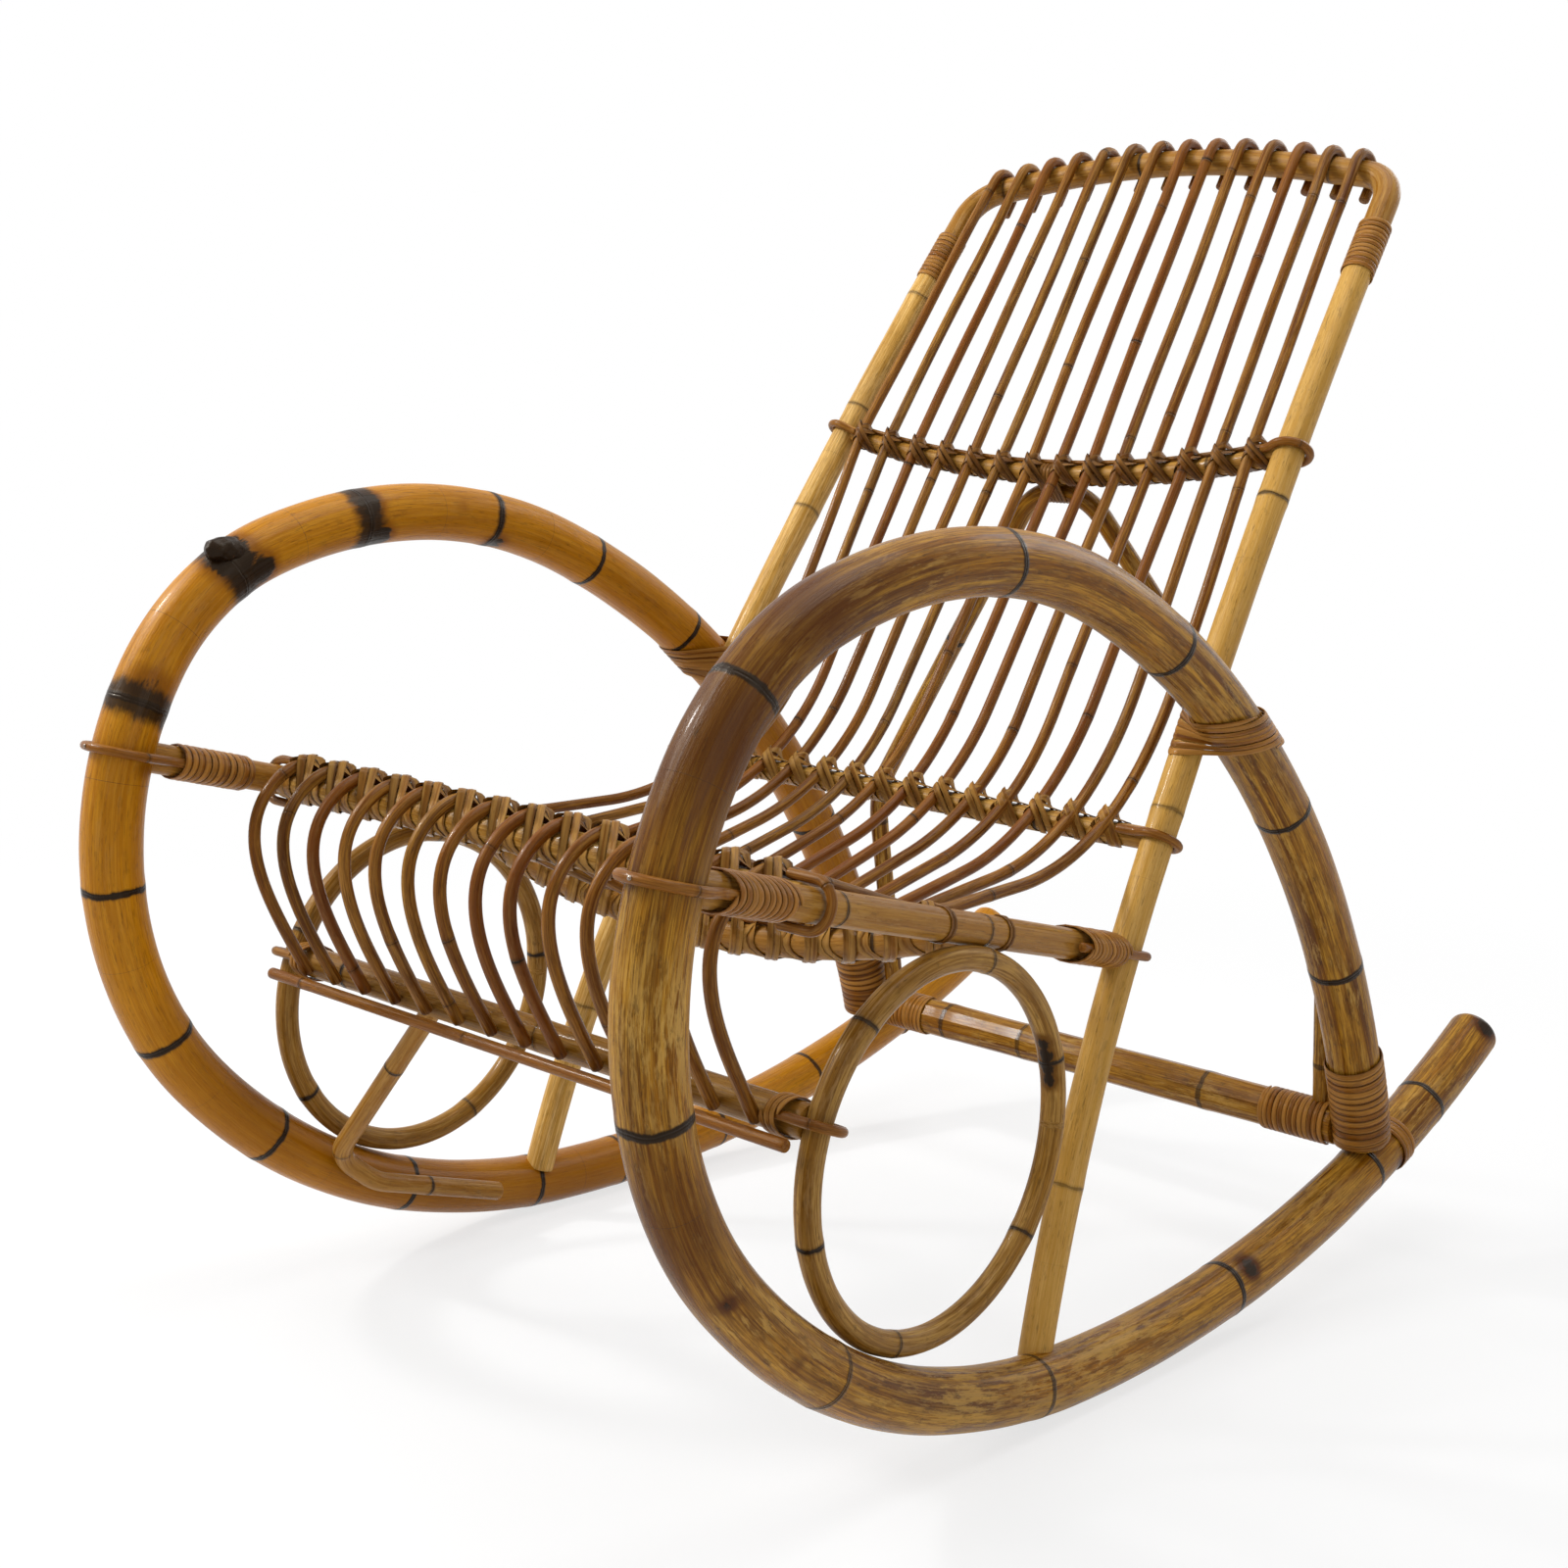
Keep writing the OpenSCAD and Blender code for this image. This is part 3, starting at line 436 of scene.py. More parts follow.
class Spring:
    """A sprung cane's curve: a cubic spline through points, with a fixed direction at its start."""

    def __init__(self, points: Array, start: Array) -> None:
        """Solve the spline.

        Args:
            points: Points that it passes.
            start: Direction at the first point.
        """
        n = len(points)
        gaps = np.linalg.norm(np.diff(points, axis=0), axis=1)
        a, rhs = np.zeros((n, n)), np.zeros((n, 3))
        a[0, 0], rhs[0] = 1.0, start
        for k in range(1, n - 1):
            u, v = gaps[k - 1], gaps[k]
            a[k, k - 1], a[k, k], a[k, k + 1] = v, 2 * (u + v), u
            rhs[k] = 3 * (v * (points[k] - points[k - 1]) / u + u * (points[k + 1] - points[k]) / v)
        a[-1, -2], a[-1, -1] = 1.0, 2.0
        rhs[-1] = 3 * (points[-1] - points[-2]) / gaps[-1]
        self.points, self.gaps, self.slopes = points, gaps, np.linalg.solve(a, rhs)

    def line(self, pitch: float) -> Array:
        """Return closely set points of the curve.

        Args:
            pitch: Greatest distance between them.

        Returns:
            The points.
        """
        out = [self.points[0]]
        for k, gap in enumerate(self.gaps):
            for t in np.linspace(0, 1, max(2, math.ceil(gap / pitch)) + 1)[1:]:
                p, q = self.points[k], self.points[k + 1]
                a, b = self.slopes[k] * gap, self.slopes[k + 1] * gap
                out.append(p * (1 + 2 * t) * (1 - t) ** 2 + a * t * (1 - t) ** 2
                           + q * t * t * (3 - 2 * t) - b * t * t * (1 - t))
        return np.array(out)


@dataclass
class CanePath:
    """Course of one long cane, from its hook on the top rail to the low front rail."""

    plan: Layout
    number: int
    tuck: float = 0.25
    sweep: tuple = (300.0, 235.0, 200.0)

    def __post_init__(self) -> None:
        """Work out the spots that the cane passes and the lines between them."""
        p, i = self.plan, self.number
        r = p.cane_d / 2
        xt = p.lane(i, p.top_corner[0] - p.cane_inset)
        xm = p.lane(i, p.mid_at[0] - p.cane_inset + 3)
        xl = p.lane(i, p.low_at[0] - p.low_inset)
        xf = p.lane(i, p.front_at[0] - p.front_inset)
        xe = p.lane(i, p.ring_x - p.cane_inset - 8.5)
        xd = xl + (xf - xl) * (p.low_at[1] - p.dish_y) / (p.low_at[1] - p.rail_y)
        hook = p.top_d / 2 / math.cos(p.top_bend) + r + p.gap
        mid = (p.mid_d / 2 + r + p.gap) / math.cos(p.slope(xm, p.mid_at[0], p.mid_sag))
        dish = (p.dish_d / 2 + r + p.gap) / math.cos(p.slope(xd, p.dish_at[0], p.dish_sag))
        front = p.front_d / 2 + r + p.gap
        self.xs = [xt, xm, xl, xd, xf, xf * 0.7 + xe * 0.3, xe]
        self.at = [p.top_yz(xt), p.mid_yz(xm), vec(p.low_at[1], p.low_h), vec(p.dish_y, p.dish_z(xd)),
                   vec(p.rail_y, p.front_at[2]),
                   vec(p.rail_y - p.roll_out + p.roll_r, p.front_at[2] - p.roll_r / 2), p.low_front]
        self.dist = [hook, mid, p.low_d / 2 + r + p.gap, dish, front, p.roll_r,
                     p.low_front_d / 2 + r + p.gap]
        self.bends = [hook, *self.sweep, front, p.roll_r]
        offs = list(self.dist)
        for _ in range(6):
            offs = self.offsets(self.headings(offs))
        self.heads = [float(h) for h in np.unwrap(self.headings(offs))]

    def headings(self, offs: Sequence[float]) -> list[float]:
        """Return the headings, in radians, of the lines that pass the spots at the offsets.

        Args:
            offs: Offset from each spot.

        Returns:
            The headings.
        """
        out = []
        for k in range(len(self.at) - 1):
            v = self.at[k + 1] - self.at[k]
            slant = math.asin((offs[k + 1] - offs[k]) / float(np.linalg.norm(v)))
            out.append(math.atan2(v[1], v[0]) - slant)
        return out

    def offsets(self, heads: Sequence[float]) -> list[float]:
        """Return the offsets at which each bend passes its spot at its distance.

        Args:
            heads: Headings of the lines.

        Returns:
            The offsets.
        """
        out = [self.dist[0]]
        for k in range(1, len(self.at) - 1):
            t = (heads[k] - heads[k - 1] + 3 * math.pi) % (2 * math.pi) - math.pi
            q = 1 if t > 0 else -1
            out.append((self.dist[k] - q * self.bends[k]) * math.cos(t / 2) + q * self.bends[k])
        return out + [self.dist[-1]]

    @staticmethod
    def left(h: float) -> Array:
        """Return the direction to the left of a heading."""
        return vec(-math.sin(h), math.cos(h))

    def crossing(self, k: int) -> tuple[Array, Array, float]:
        """Return the point, direction and radius of the cane where it passes spot k."""
        h = (self.heads[k - 1] + self.heads[k]) / 2
        return self.contact(k, h), vec(0, math.cos(h), math.sin(h)), self.plan.cane_d / 2

    def contact(self, k: int, h: float) -> Array:
        """Return the point where the cane passes spot k at heading h."""
        return vec(self.xs[k], *(self.at[k] - self.left(h) * self.dist[k]))

    def roll(self) -> Array:
        """Return the free curve from the front rail round the roll to the low front rail."""
        start, go, _ = self.crossing(Pass.FRONT)
        points = [start, self.crossing(Pass.ROLL)[0], self.contact(Pass.END, self.heads[-1] - self.tuck)]
        spring = Spring(np.array(points), go)
        line = spring.line(3.0)
        return np.vstack([line, line[-1] + 3 * unit(spring.slopes[-1])])

    def route(self) -> Array:
        """Return the points of the cane's middle line."""
        h, xs = self.heads, self.xs
        hook, top = self.dist[0], self.at[0]
        l0, d0 = self.left(h[0]), vec(math.cos(h[0]), math.sin(h[0]))
        under = top + l0 * hook
        pts = [vec(xs[0], *(under + d0 * (16 - 4 * k))) for k in range(4)]
        pts += [vec(xs[0], *(top + hook * (l0 * math.cos(a) - d0 * math.sin(a))))
                for a in np.linspace(0, math.pi, 15)]
        corners, bends = [pts[-1]], [0.0]
        for k in (Pass.MIDDLE, Pass.LOW, Pass.DISHED):
            t = (h[k] - h[k - 1]) / 2
            q = 1 if t > 0 else -1
            off = (self.dist[k] - q * self.bends[k]) * math.cos(t) + q * self.bends[k]
            corners.append(vec(xs[k], *(self.at[k] - self.left((h[k] + h[k - 1]) / 2) * off / math.cos(t))))
            bends.append(self.bends[k])
        roll = self.roll()
        return np.vstack([np.array(pts[:-1]), filleted(corners + [roll[0]], bends + [0.0]), roll[1:]])


# --- finishes

Socket = bpy.types.NodeSocket
Outputs = bpy.types.NodeOutputs
Inputs = bpy.types.NodeInputs


class Nodes:
    """Writes nodes into the tree of a material, a world or a group."""

    def __init__(self, tree: bpy.types.NodeTree) -> None:
        """Keep the tree."""
        self.tree = tree

    @classmethod
    def emptied(cls, owner: bpy.types.ID) -> "Nodes":
        """Return the emptied tree of a material or a world.

        Args:
            owner: The material or the world.

        Returns:
            A writer for its tree.
        """
        owner.use_nodes = True
        owner.node_tree.nodes.clear()
        return cls(owner.node_tree)

    def add(self, kind: str, **values: object) -> bpy.types.Node:
        """Add a node; values whose names start with in_ go to its inputs.

        Args:
            kind: Blender's name for the type of node.
            values: Its properties and inputs.

        Returns:
            The node.
        """
        node = self.tree.nodes.new(kind)
        for key, value in values.items():
            if key.startswith("in_"):
                name = key[3:].replace("_", " ")
                socket = node.inputs[int(name)] if name.isdigit() else node.inputs[name]
                self.feed(socket, value)
            else:
                setattr(node, key, value)
        return node

    def feed(self, socket: bpy.types.NodeSocket, value: object) -> None:
        """Link an output to a socket, or set the socket's value.

        Args:
            socket: The input.
            value: An output or a value.
        """
        if isinstance(value, bpy.types.NodeSocket):
            self.tree.links.new(value, socket)
        elif socket.type == "RGBA" and isinstance(value, tuple) and len(value) == 3:
            socket.default_value = (*value, 1.0)
        else:
            socket.default_value = value

    def maths(self, what: str, a: object, b: object = 0.0, c: object = 0.0, clamp: bool = False) -> Socket:
        """Return the result of a math node.

        Args:
            what: Blender's name for the operation.
            a: Its first input.
            b: Its second input.
            c: What is added to a product.
            clamp: Whether the result stays from 0 to 1.

        Returns:
            The node's output.
        """
        node = self.add("ShaderNodeMath", operation=what, use_clamp=clamp, in_0=a, in_1=b)
        if what == "MULTIPLY_ADD":
            self.feed(node.inputs[2], c)
        return node.outputs[0]

    def times(self, a: object, b: object, clamp: bool = False) -> Socket:
        """Return the product of two values."""
        return self.maths("MULTIPLY", a, b, clamp=clamp)

    def most(self, *values: object) -> Socket:
        """Return the greatest of the values."""
        best = values[0]
        for value in values[1:]:
            best = self.maths("MAXIMUM", best, value)
        return best

    def attribute(self, name: str, output: str = "Fac") -> Socket:
        """Return an attribute of the piece."""
        return self.add("ShaderNodeAttribute", attribute_name=name).outputs[output]

    def effect(self, tree: bpy.types.NodeTree, **values: object) -> Outputs:
        """Place a shared effect with its own values and return its outputs."""
        return self.add("ShaderNodeGroup", node_tree=tree, **values).outputs

    def fade(self, value: object, lo: float, hi: float, out_lo: float = 0.0, out_hi: float = 1.0) -> Socket:
        """Return the value taken smoothly from one range to another."""
        return self.add("ShaderNodeMapRange", interpolation_type="SMOOTHSTEP", in_Value=value, in_From_Min=lo,
                        in_From_Max=hi, in_To_Min=out_lo, in_To_Max=out_hi).outputs["Result"]

    def mix(self, factor: object, a: object, b: object) -> Socket:
        """Return the mix of two colours.

        Args:
            factor: Share of the second colour.
            a: The first colour.
            b: The second colour.

        Returns:
            The mixed colour.
        """
        node = self.add("ShaderNodeMix", data_type="RGBA", in_Factor=factor)
        self.feed(node.inputs[6], a)
        self.feed(node.inputs[7], b)
        return node.outputs[2]

    def stretched_noise(self, lay: object, seed: object, along: float, across: float,
                        detail: float = 2.0, rough: float = 0.5) -> Socket:
        """Return noise that is drawn out along the cane.

        Args:
            lay: Place on the cane.
            seed: Number that picks the pattern.
            along: Scale along the cane.
            across: Scale across it.
            detail: Number of finer layers.
            rough: Their strength.

        Returns:
            The noise, from 0 to 1.
        """
        drawn_out = (along, across, across)
        scaled = self.add("ShaderNodeVectorMath", operation="MULTIPLY", in_0=lay, in_1=drawn_out)
        return self.add("ShaderNodeTexNoise", noise_dimensions="4D", in_Vector=scaled.outputs[0], in_W=seed,
                        in_Scale=1.0, in_Detail=detail, in_Roughness=rough).outputs[0]


class Effects:
    """Node groups for what the finishes share, each built once."""

    @staticmethod
    def opened(name: str, ins: Sequence[str], outs: Sequence[str]) -> tuple[Nodes, Outputs, Inputs]:
        """Open a new group that takes the place on the cane, the seed and other numbers.

        Args:
            name: Name of the effect.
            ins: Names of the other numbers.
            outs: Names of what it gives.

        Returns:
            The group's writer, what the group is given and where its results go.
        """
        tree = bpy.data.node_groups.new(name, "ShaderNodeTree")
        tree.interface.new_socket("Lay", in_out="INPUT", socket_type="NodeSocketVector")
        for label in ("Seed", *ins):
            tree.interface.new_socket(label, in_out="INPUT", socket_type="NodeSocketFloat")
        for label in outs:
            tree.interface.new_socket(label, in_out="OUTPUT", socket_type="NodeSocketFloat")
        n = Nodes(tree)
        return n, n.add("NodeGroupInput").outputs, n.add("NodeGroupOutput").inputs

    @staticmethod
    @cache
    def grain() -> bpy.types.NodeTree:
        """Return fine fibres, broad streaks and fine pores that run along the cane."""
        n, given, out = Effects.opened("Cane grain", (), ("Fibre", "Streak", "Pores"))
        lay, seed = given["Lay"], given["Seed"]
        fine = n.stretched_noise(lay, seed, 38.0, 1000.0, 3.0, 0.6)
        streak = n.stretched_noise(lay, seed, 6.0, 260.0, 3.0, 0.6)
        pore = n.stretched_noise(lay, seed, 90.0, 1300.0, 2.0, 0.6)
        n.feed(out["Fibre"], n.fade(fine, 0.4, 0.6))
        n.feed(out["Streak"], n.fade(streak, 0.36, 0.64))
        n.feed(out["Pores"], n.fade(pore, 0.58, 0.68))
        return n.tree

    @staticmethod
    @cache
    def weathering() -> bpy.types.NodeTree:
        """Return slow mottling, small dark specks and pale scuffs."""
        n, given, out = Effects.opened("Cane weathering", ("Specks", "Wear", "Rubbed"),
                                       ("Mottle", "Specks", "Bare"))
        lay, seed = given["Lay"], given["Seed"]
        slow = n.stretched_noise(lay, seed, 7.0, 26.0, 4.0, 0.6)
        speck = n.stretched_noise(lay, seed, 95.0, 240.0, 4.0, 0.65)
        scuff = n.stretched_noise(lay, seed, 34.0, 210.0, 5.0, 0.7)
        bare = n.times(n.fade(scuff, 0.5, 0.62), n.fade(slow, 0.42, 0.6))
        n.feed(out["Mottle"], n.fade(slow, 0.38, 0.62))
        n.feed(out["Specks"], n.times(n.fade(speck, 0.585, 0.66), given["Specks"]))
        wear = n.times(bare, given["Wear"])
        local = n.times(n.fade(scuff, 0.44, 0.56), given["Rubbed"])
        n.feed(out["Bare"], n.most(wear, local))
        return n.tree

    @staticmethod
    @cache
    def growth() -> bpy.types.NodeTree:
        """Return the dark, ragged line, the smudge and the ridge at a cane's growth rings."""
        n, given, out = Effects.opened("Growth rings", ("Distance", "Darkness", "Width"),
                                       ("Line", "Smudge", "Ridge"))
        lay, seed, dark = given["Lay"], given["Seed"], given["Darkness"]
        wave = n.maths("SUBTRACT", n.stretched_noise(lay, seed, 30.0, 45.0, 2.0, 0.5), 0.5)
        rag = n.maths("SUBTRACT", n.stretched_noise(lay, seed, 45.0, 150.0, 4.0, 0.7), 0.5)
        away = n.maths("ABSOLUTE", n.maths("MULTIPLY_ADD", wave, 0.006, given["Distance"]))
        width = n.times(given["Width"], n.maths("ADD", 0.55, dark))
        line = n.maths("DIVIDE", n.maths("MULTIPLY_ADD", rag, 0.0035, away), width)
        strong = n.fade(line, 0.55, 1.0, 1.0, 0.0)
        n.feed(out["Line"], n.times(strong, n.maths("MULTIPLY_ADD", dark, 1.8, 0.2, True)))
        reach = n.maths("MULTIPLY_ADD", n.maths("POWER", dark, 6.0), 0.016, 0.003)
        far = n.maths("MULTIPLY_ADD", rag, 1.3, n.maths("DIVIDE", away, reach))
        n.feed(out["Smudge"], n.times(n.fade(far, 0.5, 1.15, 1.0, 0.0), dark))
        groove = n.times(n.fade(away, 0.0, 0.0011, 1.0, 0.0), 1.2)
        n.feed(out["Ridge"], n.maths("SUBTRACT", n.fade(away, 0.0, 0.004, 1.0, 0.0), groove))
        return n.tree


class Finish:
    """A finish, built as a material when it is first asked for."""

    name: str

    def shader(self, n: Nodes) -> Socket:
        """Return the finish's shader."""
        raise NotImplementedError

    def material(self) -> bpy.types.Material:
        """Return the finish as a material, built once."""
        found = bpy.data.materials.get(self.name)
        if found:
            return found
        mat = bpy.data.materials.new(self.name)
        n = Nodes.emptied(mat)
        n.feed(n.add("ShaderNodeOutputMaterial").inputs[0], self.shader(n))
        return mat


@dataclass(frozen=True)
class CaneFinish(Finish):
    """Lacquered rattan cane with its skin on.

    deep, body and pale are the skin's own colours; the shares say how far each effect goes.
    """

    name: str
    deep: Colour
    body: Colour
    pale: Colour
    bare: Colour = (0.50, 0.31, 0.12)
    burnt: Colour = (0.014, 0.006, 0.002)
    tinge: Colour = (0.22, 0.085, 0.03)
    gloss: Colour = (1.0, 0.82, 0.55)
    specks: float = 0.35
    wear: float = 0.2
    ring_width: float = 0.0021
    streak_share: float = 0.75
    fibre_share: float = 0.68
    tinge_share: float = 0.65
    bare_share: float = 0.75
    speck_share: float = 0.45
    stain_and_shade_strength: float = 2.7
    smooth: float = 0.24
    rough: float = 0.44
    bare_rough: float = 0.22
    shine: float = 0.11
    coat: float = 0.09
    relief: float = 0.4

    def shader(self, n: Nodes) -> Socket:
        """Return the shader: grained skin with growth rings, dark patches and scuffs; the dark patches are
        real staining and, on the far pole, painted shade.

        Args:
            n: The material's nodes.

        Returns:
            The shader's output.
        """
        lay, tone, stain = n.attribute("lay", "Vector"), n.attribute("tone"), n.attribute("stain")
        seed = n.times(tone, 37.0)
        grain = n.effect(Effects.grain(), in_Lay=lay, in_Seed=seed)
        ring = n.effect(Effects.growth(), in_Lay=lay, in_Seed=seed, in_Width=self.ring_width,
                        in_Distance=n.attribute("ring_at"), in_Darkness=n.attribute("ring_dark"))
        old = n.effect(Effects.weathering(), in_Lay=lay, in_Seed=seed, in_Specks=self.specks,
                       in_Wear=self.wear, in_Rubbed=n.attribute("rubbed"))
        ragged = n.maths("SUBTRACT", n.stretched_noise(lay, seed, 60.0, 170.0, 4.0, 0.65), 0.5)
        spot = n.fade(n.maths("ADD", stain, n.times(ragged, 0.9)), 0.42, 0.6)
        # Darkened towards deep where the dark-patch attribute lies: real staining, and painted shade where
        # the far pole's broad patches lie.
        colour = n.mix(n.times(stain, self.stain_and_shade_strength, clamp=True), self.skin(n, tone, grain, old), self.deep)
        colour = n.mix(n.most(ring["Line"], ring["Smudge"], spot), colour, self.burnt)
        height = n.maths("MULTIPLY_ADD", grain["Fibre"], 0.18, ring["Ridge"])
        height = n.maths("MULTIPLY_ADD", old["Bare"], -0.35, height)
        height = n.maths("MULTIPLY_ADD", spot, 0.5, height)
        bump = n.add("ShaderNodeBump", in_Strength=self.relief, in_Distance=0.0012, in_Height=height)
        rough = n.fade(grain["Streak"], 0.0, 1.0, self.smooth, self.rough)
        rough = n.maths("MULTIPLY_ADD", old["Bare"], self.bare_rough, rough)
        return n.add("ShaderNodeBsdfPrincipled", in_Base_Color=colour, in_Roughness=rough,
                     in_Specular_IOR_Level=self.shine, in_Specular_Tint=self.gloss, in_Coat_Weight=self.coat,
                     in_Coat_Roughness=0.1, in_Normal=bump.outputs[0]).outputs[0]

    def skin(self, n: Nodes, tone: Socket, grain: Outputs,
             old: Outputs) -> Socket:
        """Return the colour of the skin.

        Args:
            n: The material's nodes.
            tone: The cane's own number, which picks its hue.
            grain: Outputs of the grain effect.
            old: Outputs of the weathering effect.

        Returns:
            The colour.
        """
        colour = n.mix(old["Mottle"], self.body, self.deep)
        colour = n.mix(n.times(grain["Streak"], self.streak_share), colour, self.pale)
        colour = n.mix(n.times(grain["Fibre"], self.fibre_share), colour, self.deep)
        hue = n.fade(n.maths("FRACT", n.times(tone, 7.31)), 0.0, 1.0)
        colour = n.mix(n.times(hue, self.tinge_share), colour, self.tinge)
        colour = n.mix(n.times(old["Bare"], self.bare_share), colour, self.bare)
        dots = n.most(old["Specks"], grain["Pores"])
        return n.mix(n.times(dots, self.speck_share), colour, self.burnt)


@dataclass(frozen=True)
class PeelFinish(Finish):
    """Flat strips of cane peel, glossy on their skin side, with painted shade at their edges where the turns
    meet.
    """

    name: str
    deep: Colour
    body: Colour
    pale: Colour
    # edge is the colour of the painted shade at the strips' edges, where neighbouring turns meet.
    edge: Colour = (0.07, 0.03, 0.012)
    gloss: Colour = (1.0, 0.82, 0.55)
    half_width: float = 0.0026
    specks: float = 0.5
    wear: float = 0.3
    streak_share: float = 0.7
    bare_share: float = 0.6
    rim_shade_share: float = 0.5
    speck_share: float = 0.7
    rough: float = 0.36
    shine: float = 0.11
    coat: float = 0.07
    relief: float = 0.4

    def shader(self, n: Nodes) -> Socket:
        """Return the shader: grained strips with painted shade at their edges.

        Args:
            n: The material's nodes.

        Returns:
            The shader's output.
        """
        lay, seed = n.attribute("lay", "Vector"), n.times(n.attribute("tone"), 31.0)
        grain = n.effect(Effects.grain(), in_Lay=lay, in_Seed=seed)
        old = n.effect(Effects.weathering(), in_Lay=lay, in_Seed=seed, in_Specks=self.specks,
                       in_Wear=self.wear, in_Rubbed=0.0)
        colour = n.mix(old["Mottle"], self.body, self.deep)
        colour = n.mix(n.times(grain["Streak"], self.streak_share), colour, self.pale)
        colour = n.mix(n.times(old["Bare"], self.bare_share), colour, self.pale)
        across = n.maths("ABSOLUTE", n.add("ShaderNodeSeparateXYZ", in_0=lay).outputs[1])
        # Painted shade at the strips' edges, where neighbouring turns meet, mixed with the real dark specks.
        rim_shade = n.fade(across, self.half_width * 0.72, self.half_width * 1.05)
        dark = n.most(n.times(rim_shade, self.rim_shade_share), n.times(old["Specks"], self.speck_share))
        height = n.maths("MULTIPLY_ADD", grain["Fibre"], 0.35, n.times(rim_shade, -0.6))
        bump = n.add("ShaderNodeBump", in_Strength=self.relief, in_Distance=0.0008, in_Height=height)
        rough = n.fade(grain["Streak"], 0.0, 1.0, self.rough - 0.1, self.rough + 0.12)
        return n.add("ShaderNodeBsdfPrincipled", in_Base_Color=n.mix(dark, colour, self.edge),
                     in_Roughness=rough, in_Specular_IOR_Level=self.shine, in_Specular_Tint=self.gloss,
                     in_Coat_Weight=self.coat, in_Coat_Roughness=0.12, in_Normal=bump.outputs[0]).outputs[0]


@dataclass(frozen=True)
class NailFinish(Finish):
    """Dull iron of the small nail heads."""

    name: str = "Nail iron"
    iron: Colour = (0.32, 0.29, 0.25)
    rust: Colour = (0.16, 0.08, 0.04)

    def shader(self, n: Nodes) -> Socket:
        """Return the shader: iron with patches of rust.

        Args:
            n: The material's nodes.

        Returns:
            The shader's output.
        """
        place = n.add("ShaderNodeTexCoord").outputs["Object"]
        patches = n.add("ShaderNodeTexNoise", in_Vector=place, in_Scale=1400.0, in_Detail=3.0).outputs[0]
        colour = n.mix(n.fade(patches, 0.4, 0.6), self.iron, self.rust)
        return n.add("ShaderNodeBsdfPrincipled", in_Base_Color=colour, in_Metallic=0.8,
                     in_Roughness=n.fade(patches, 0.3, 0.7, 0.35, 0.6)).outputs[0]


NEAR_POLE = CaneFinish(
    "Weathered pole", deep=(0.075, 0.019, 0.0), body=(0.29, 0.108, 0.001), pale=(0.56, 0.29, 0.035),
    bare=(0.56, 0.33, 0.08), tinge=(0.21, 0.072, 0.001), specks=0.9, wear=0.7, ring_width=0.0036)
FAR_POLE = CaneFinish(
    "Amber pole", deep=(0.24, 0.080, 0.001), body=(0.56, 0.235, 0.005), pale=(0.74, 0.38, 0.03),
    tinge=(0.42, 0.155, 0.002), specks=0.5, wear=0.15, ring_width=0.0030)
POST = CaneFinish(
    "Golden post", deep=(0.34, 0.165, 0.02), body=(0.62, 0.35, 0.08), pale=(0.75, 0.50, 0.19),
    tinge=(0.48, 0.26, 0.05), specks=0.4, wear=0.25, smooth=0.3, rough=0.5)
RAIL = CaneFinish(
    "Golden rail", deep=(0.20, 0.082, 0.006), body=(0.38, 0.18, 0.025), pale=(0.55, 0.32, 0.08),
    tinge=(0.29, 0.115, 0.012), specks=0.5, wear=0.25)
RING = CaneFinish(
    "Mottled cane", deep=(0.13, 0.050, 0.003), body=(0.30, 0.14, 0.018), pale=(0.52, 0.31, 0.085),
    tinge=(0.22, 0.090, 0.006), specks=0.8, wear=0.35)
SPINDLE = CaneFinish(
    "Long cane", deep=(0.070, 0.019, 0.001), body=(0.215, 0.078, 0.006), pale=(0.42, 0.21, 0.038),
    tinge=(0.15, 0.038, 0.004), specks=0.3, wear=0.15, ring_width=0.0011)
LOOP = CaneFinish(
    "Bent loop", deep=(0.11, 0.034, 0.002), body=(0.27, 0.105, 0.010), pale=(0.46, 0.23, 0.045),
    tinge=(0.18, 0.054, 0.004), specks=0.4, wear=0.15, ring_width=0.001)
# For the peel finishes, edge is the colour of the painted shade at the strips' edges.
PEEL = PeelFinish(
    "Cane peel", deep=(0.10, 0.027, 0.001), body=(0.22, 0.074, 0.005), pale=(0.42, 0.20, 0.04))
RED_PEEL = PeelFinish(
    "Red cane peel", deep=(0.12, 0.035, 0.003), body=(0.27, 0.10, 0.012), pale=(0.44, 0.21, 0.045))
DARK_PEEL = PeelFinish(
    "Dark cane peel", deep=(0.045, 0.013, 0.001), body=(0.12, 0.040, 0.004), pale=(0.28, 0.125, 0.025),
    edge=(0.020, 0.006, 0.001), half_width=0.0018)
TAN_KNOT = PeelFinish(
    "Knotted peel", deep=(0.085, 0.027, 0.002), body=(0.22, 0.086, 0.010), pale=(0.44, 0.235, 0.055),
    edge=(0.035, 0.011, 0.002), half_width=0.0027)
NAIL = NailFinish()


# --- modelling

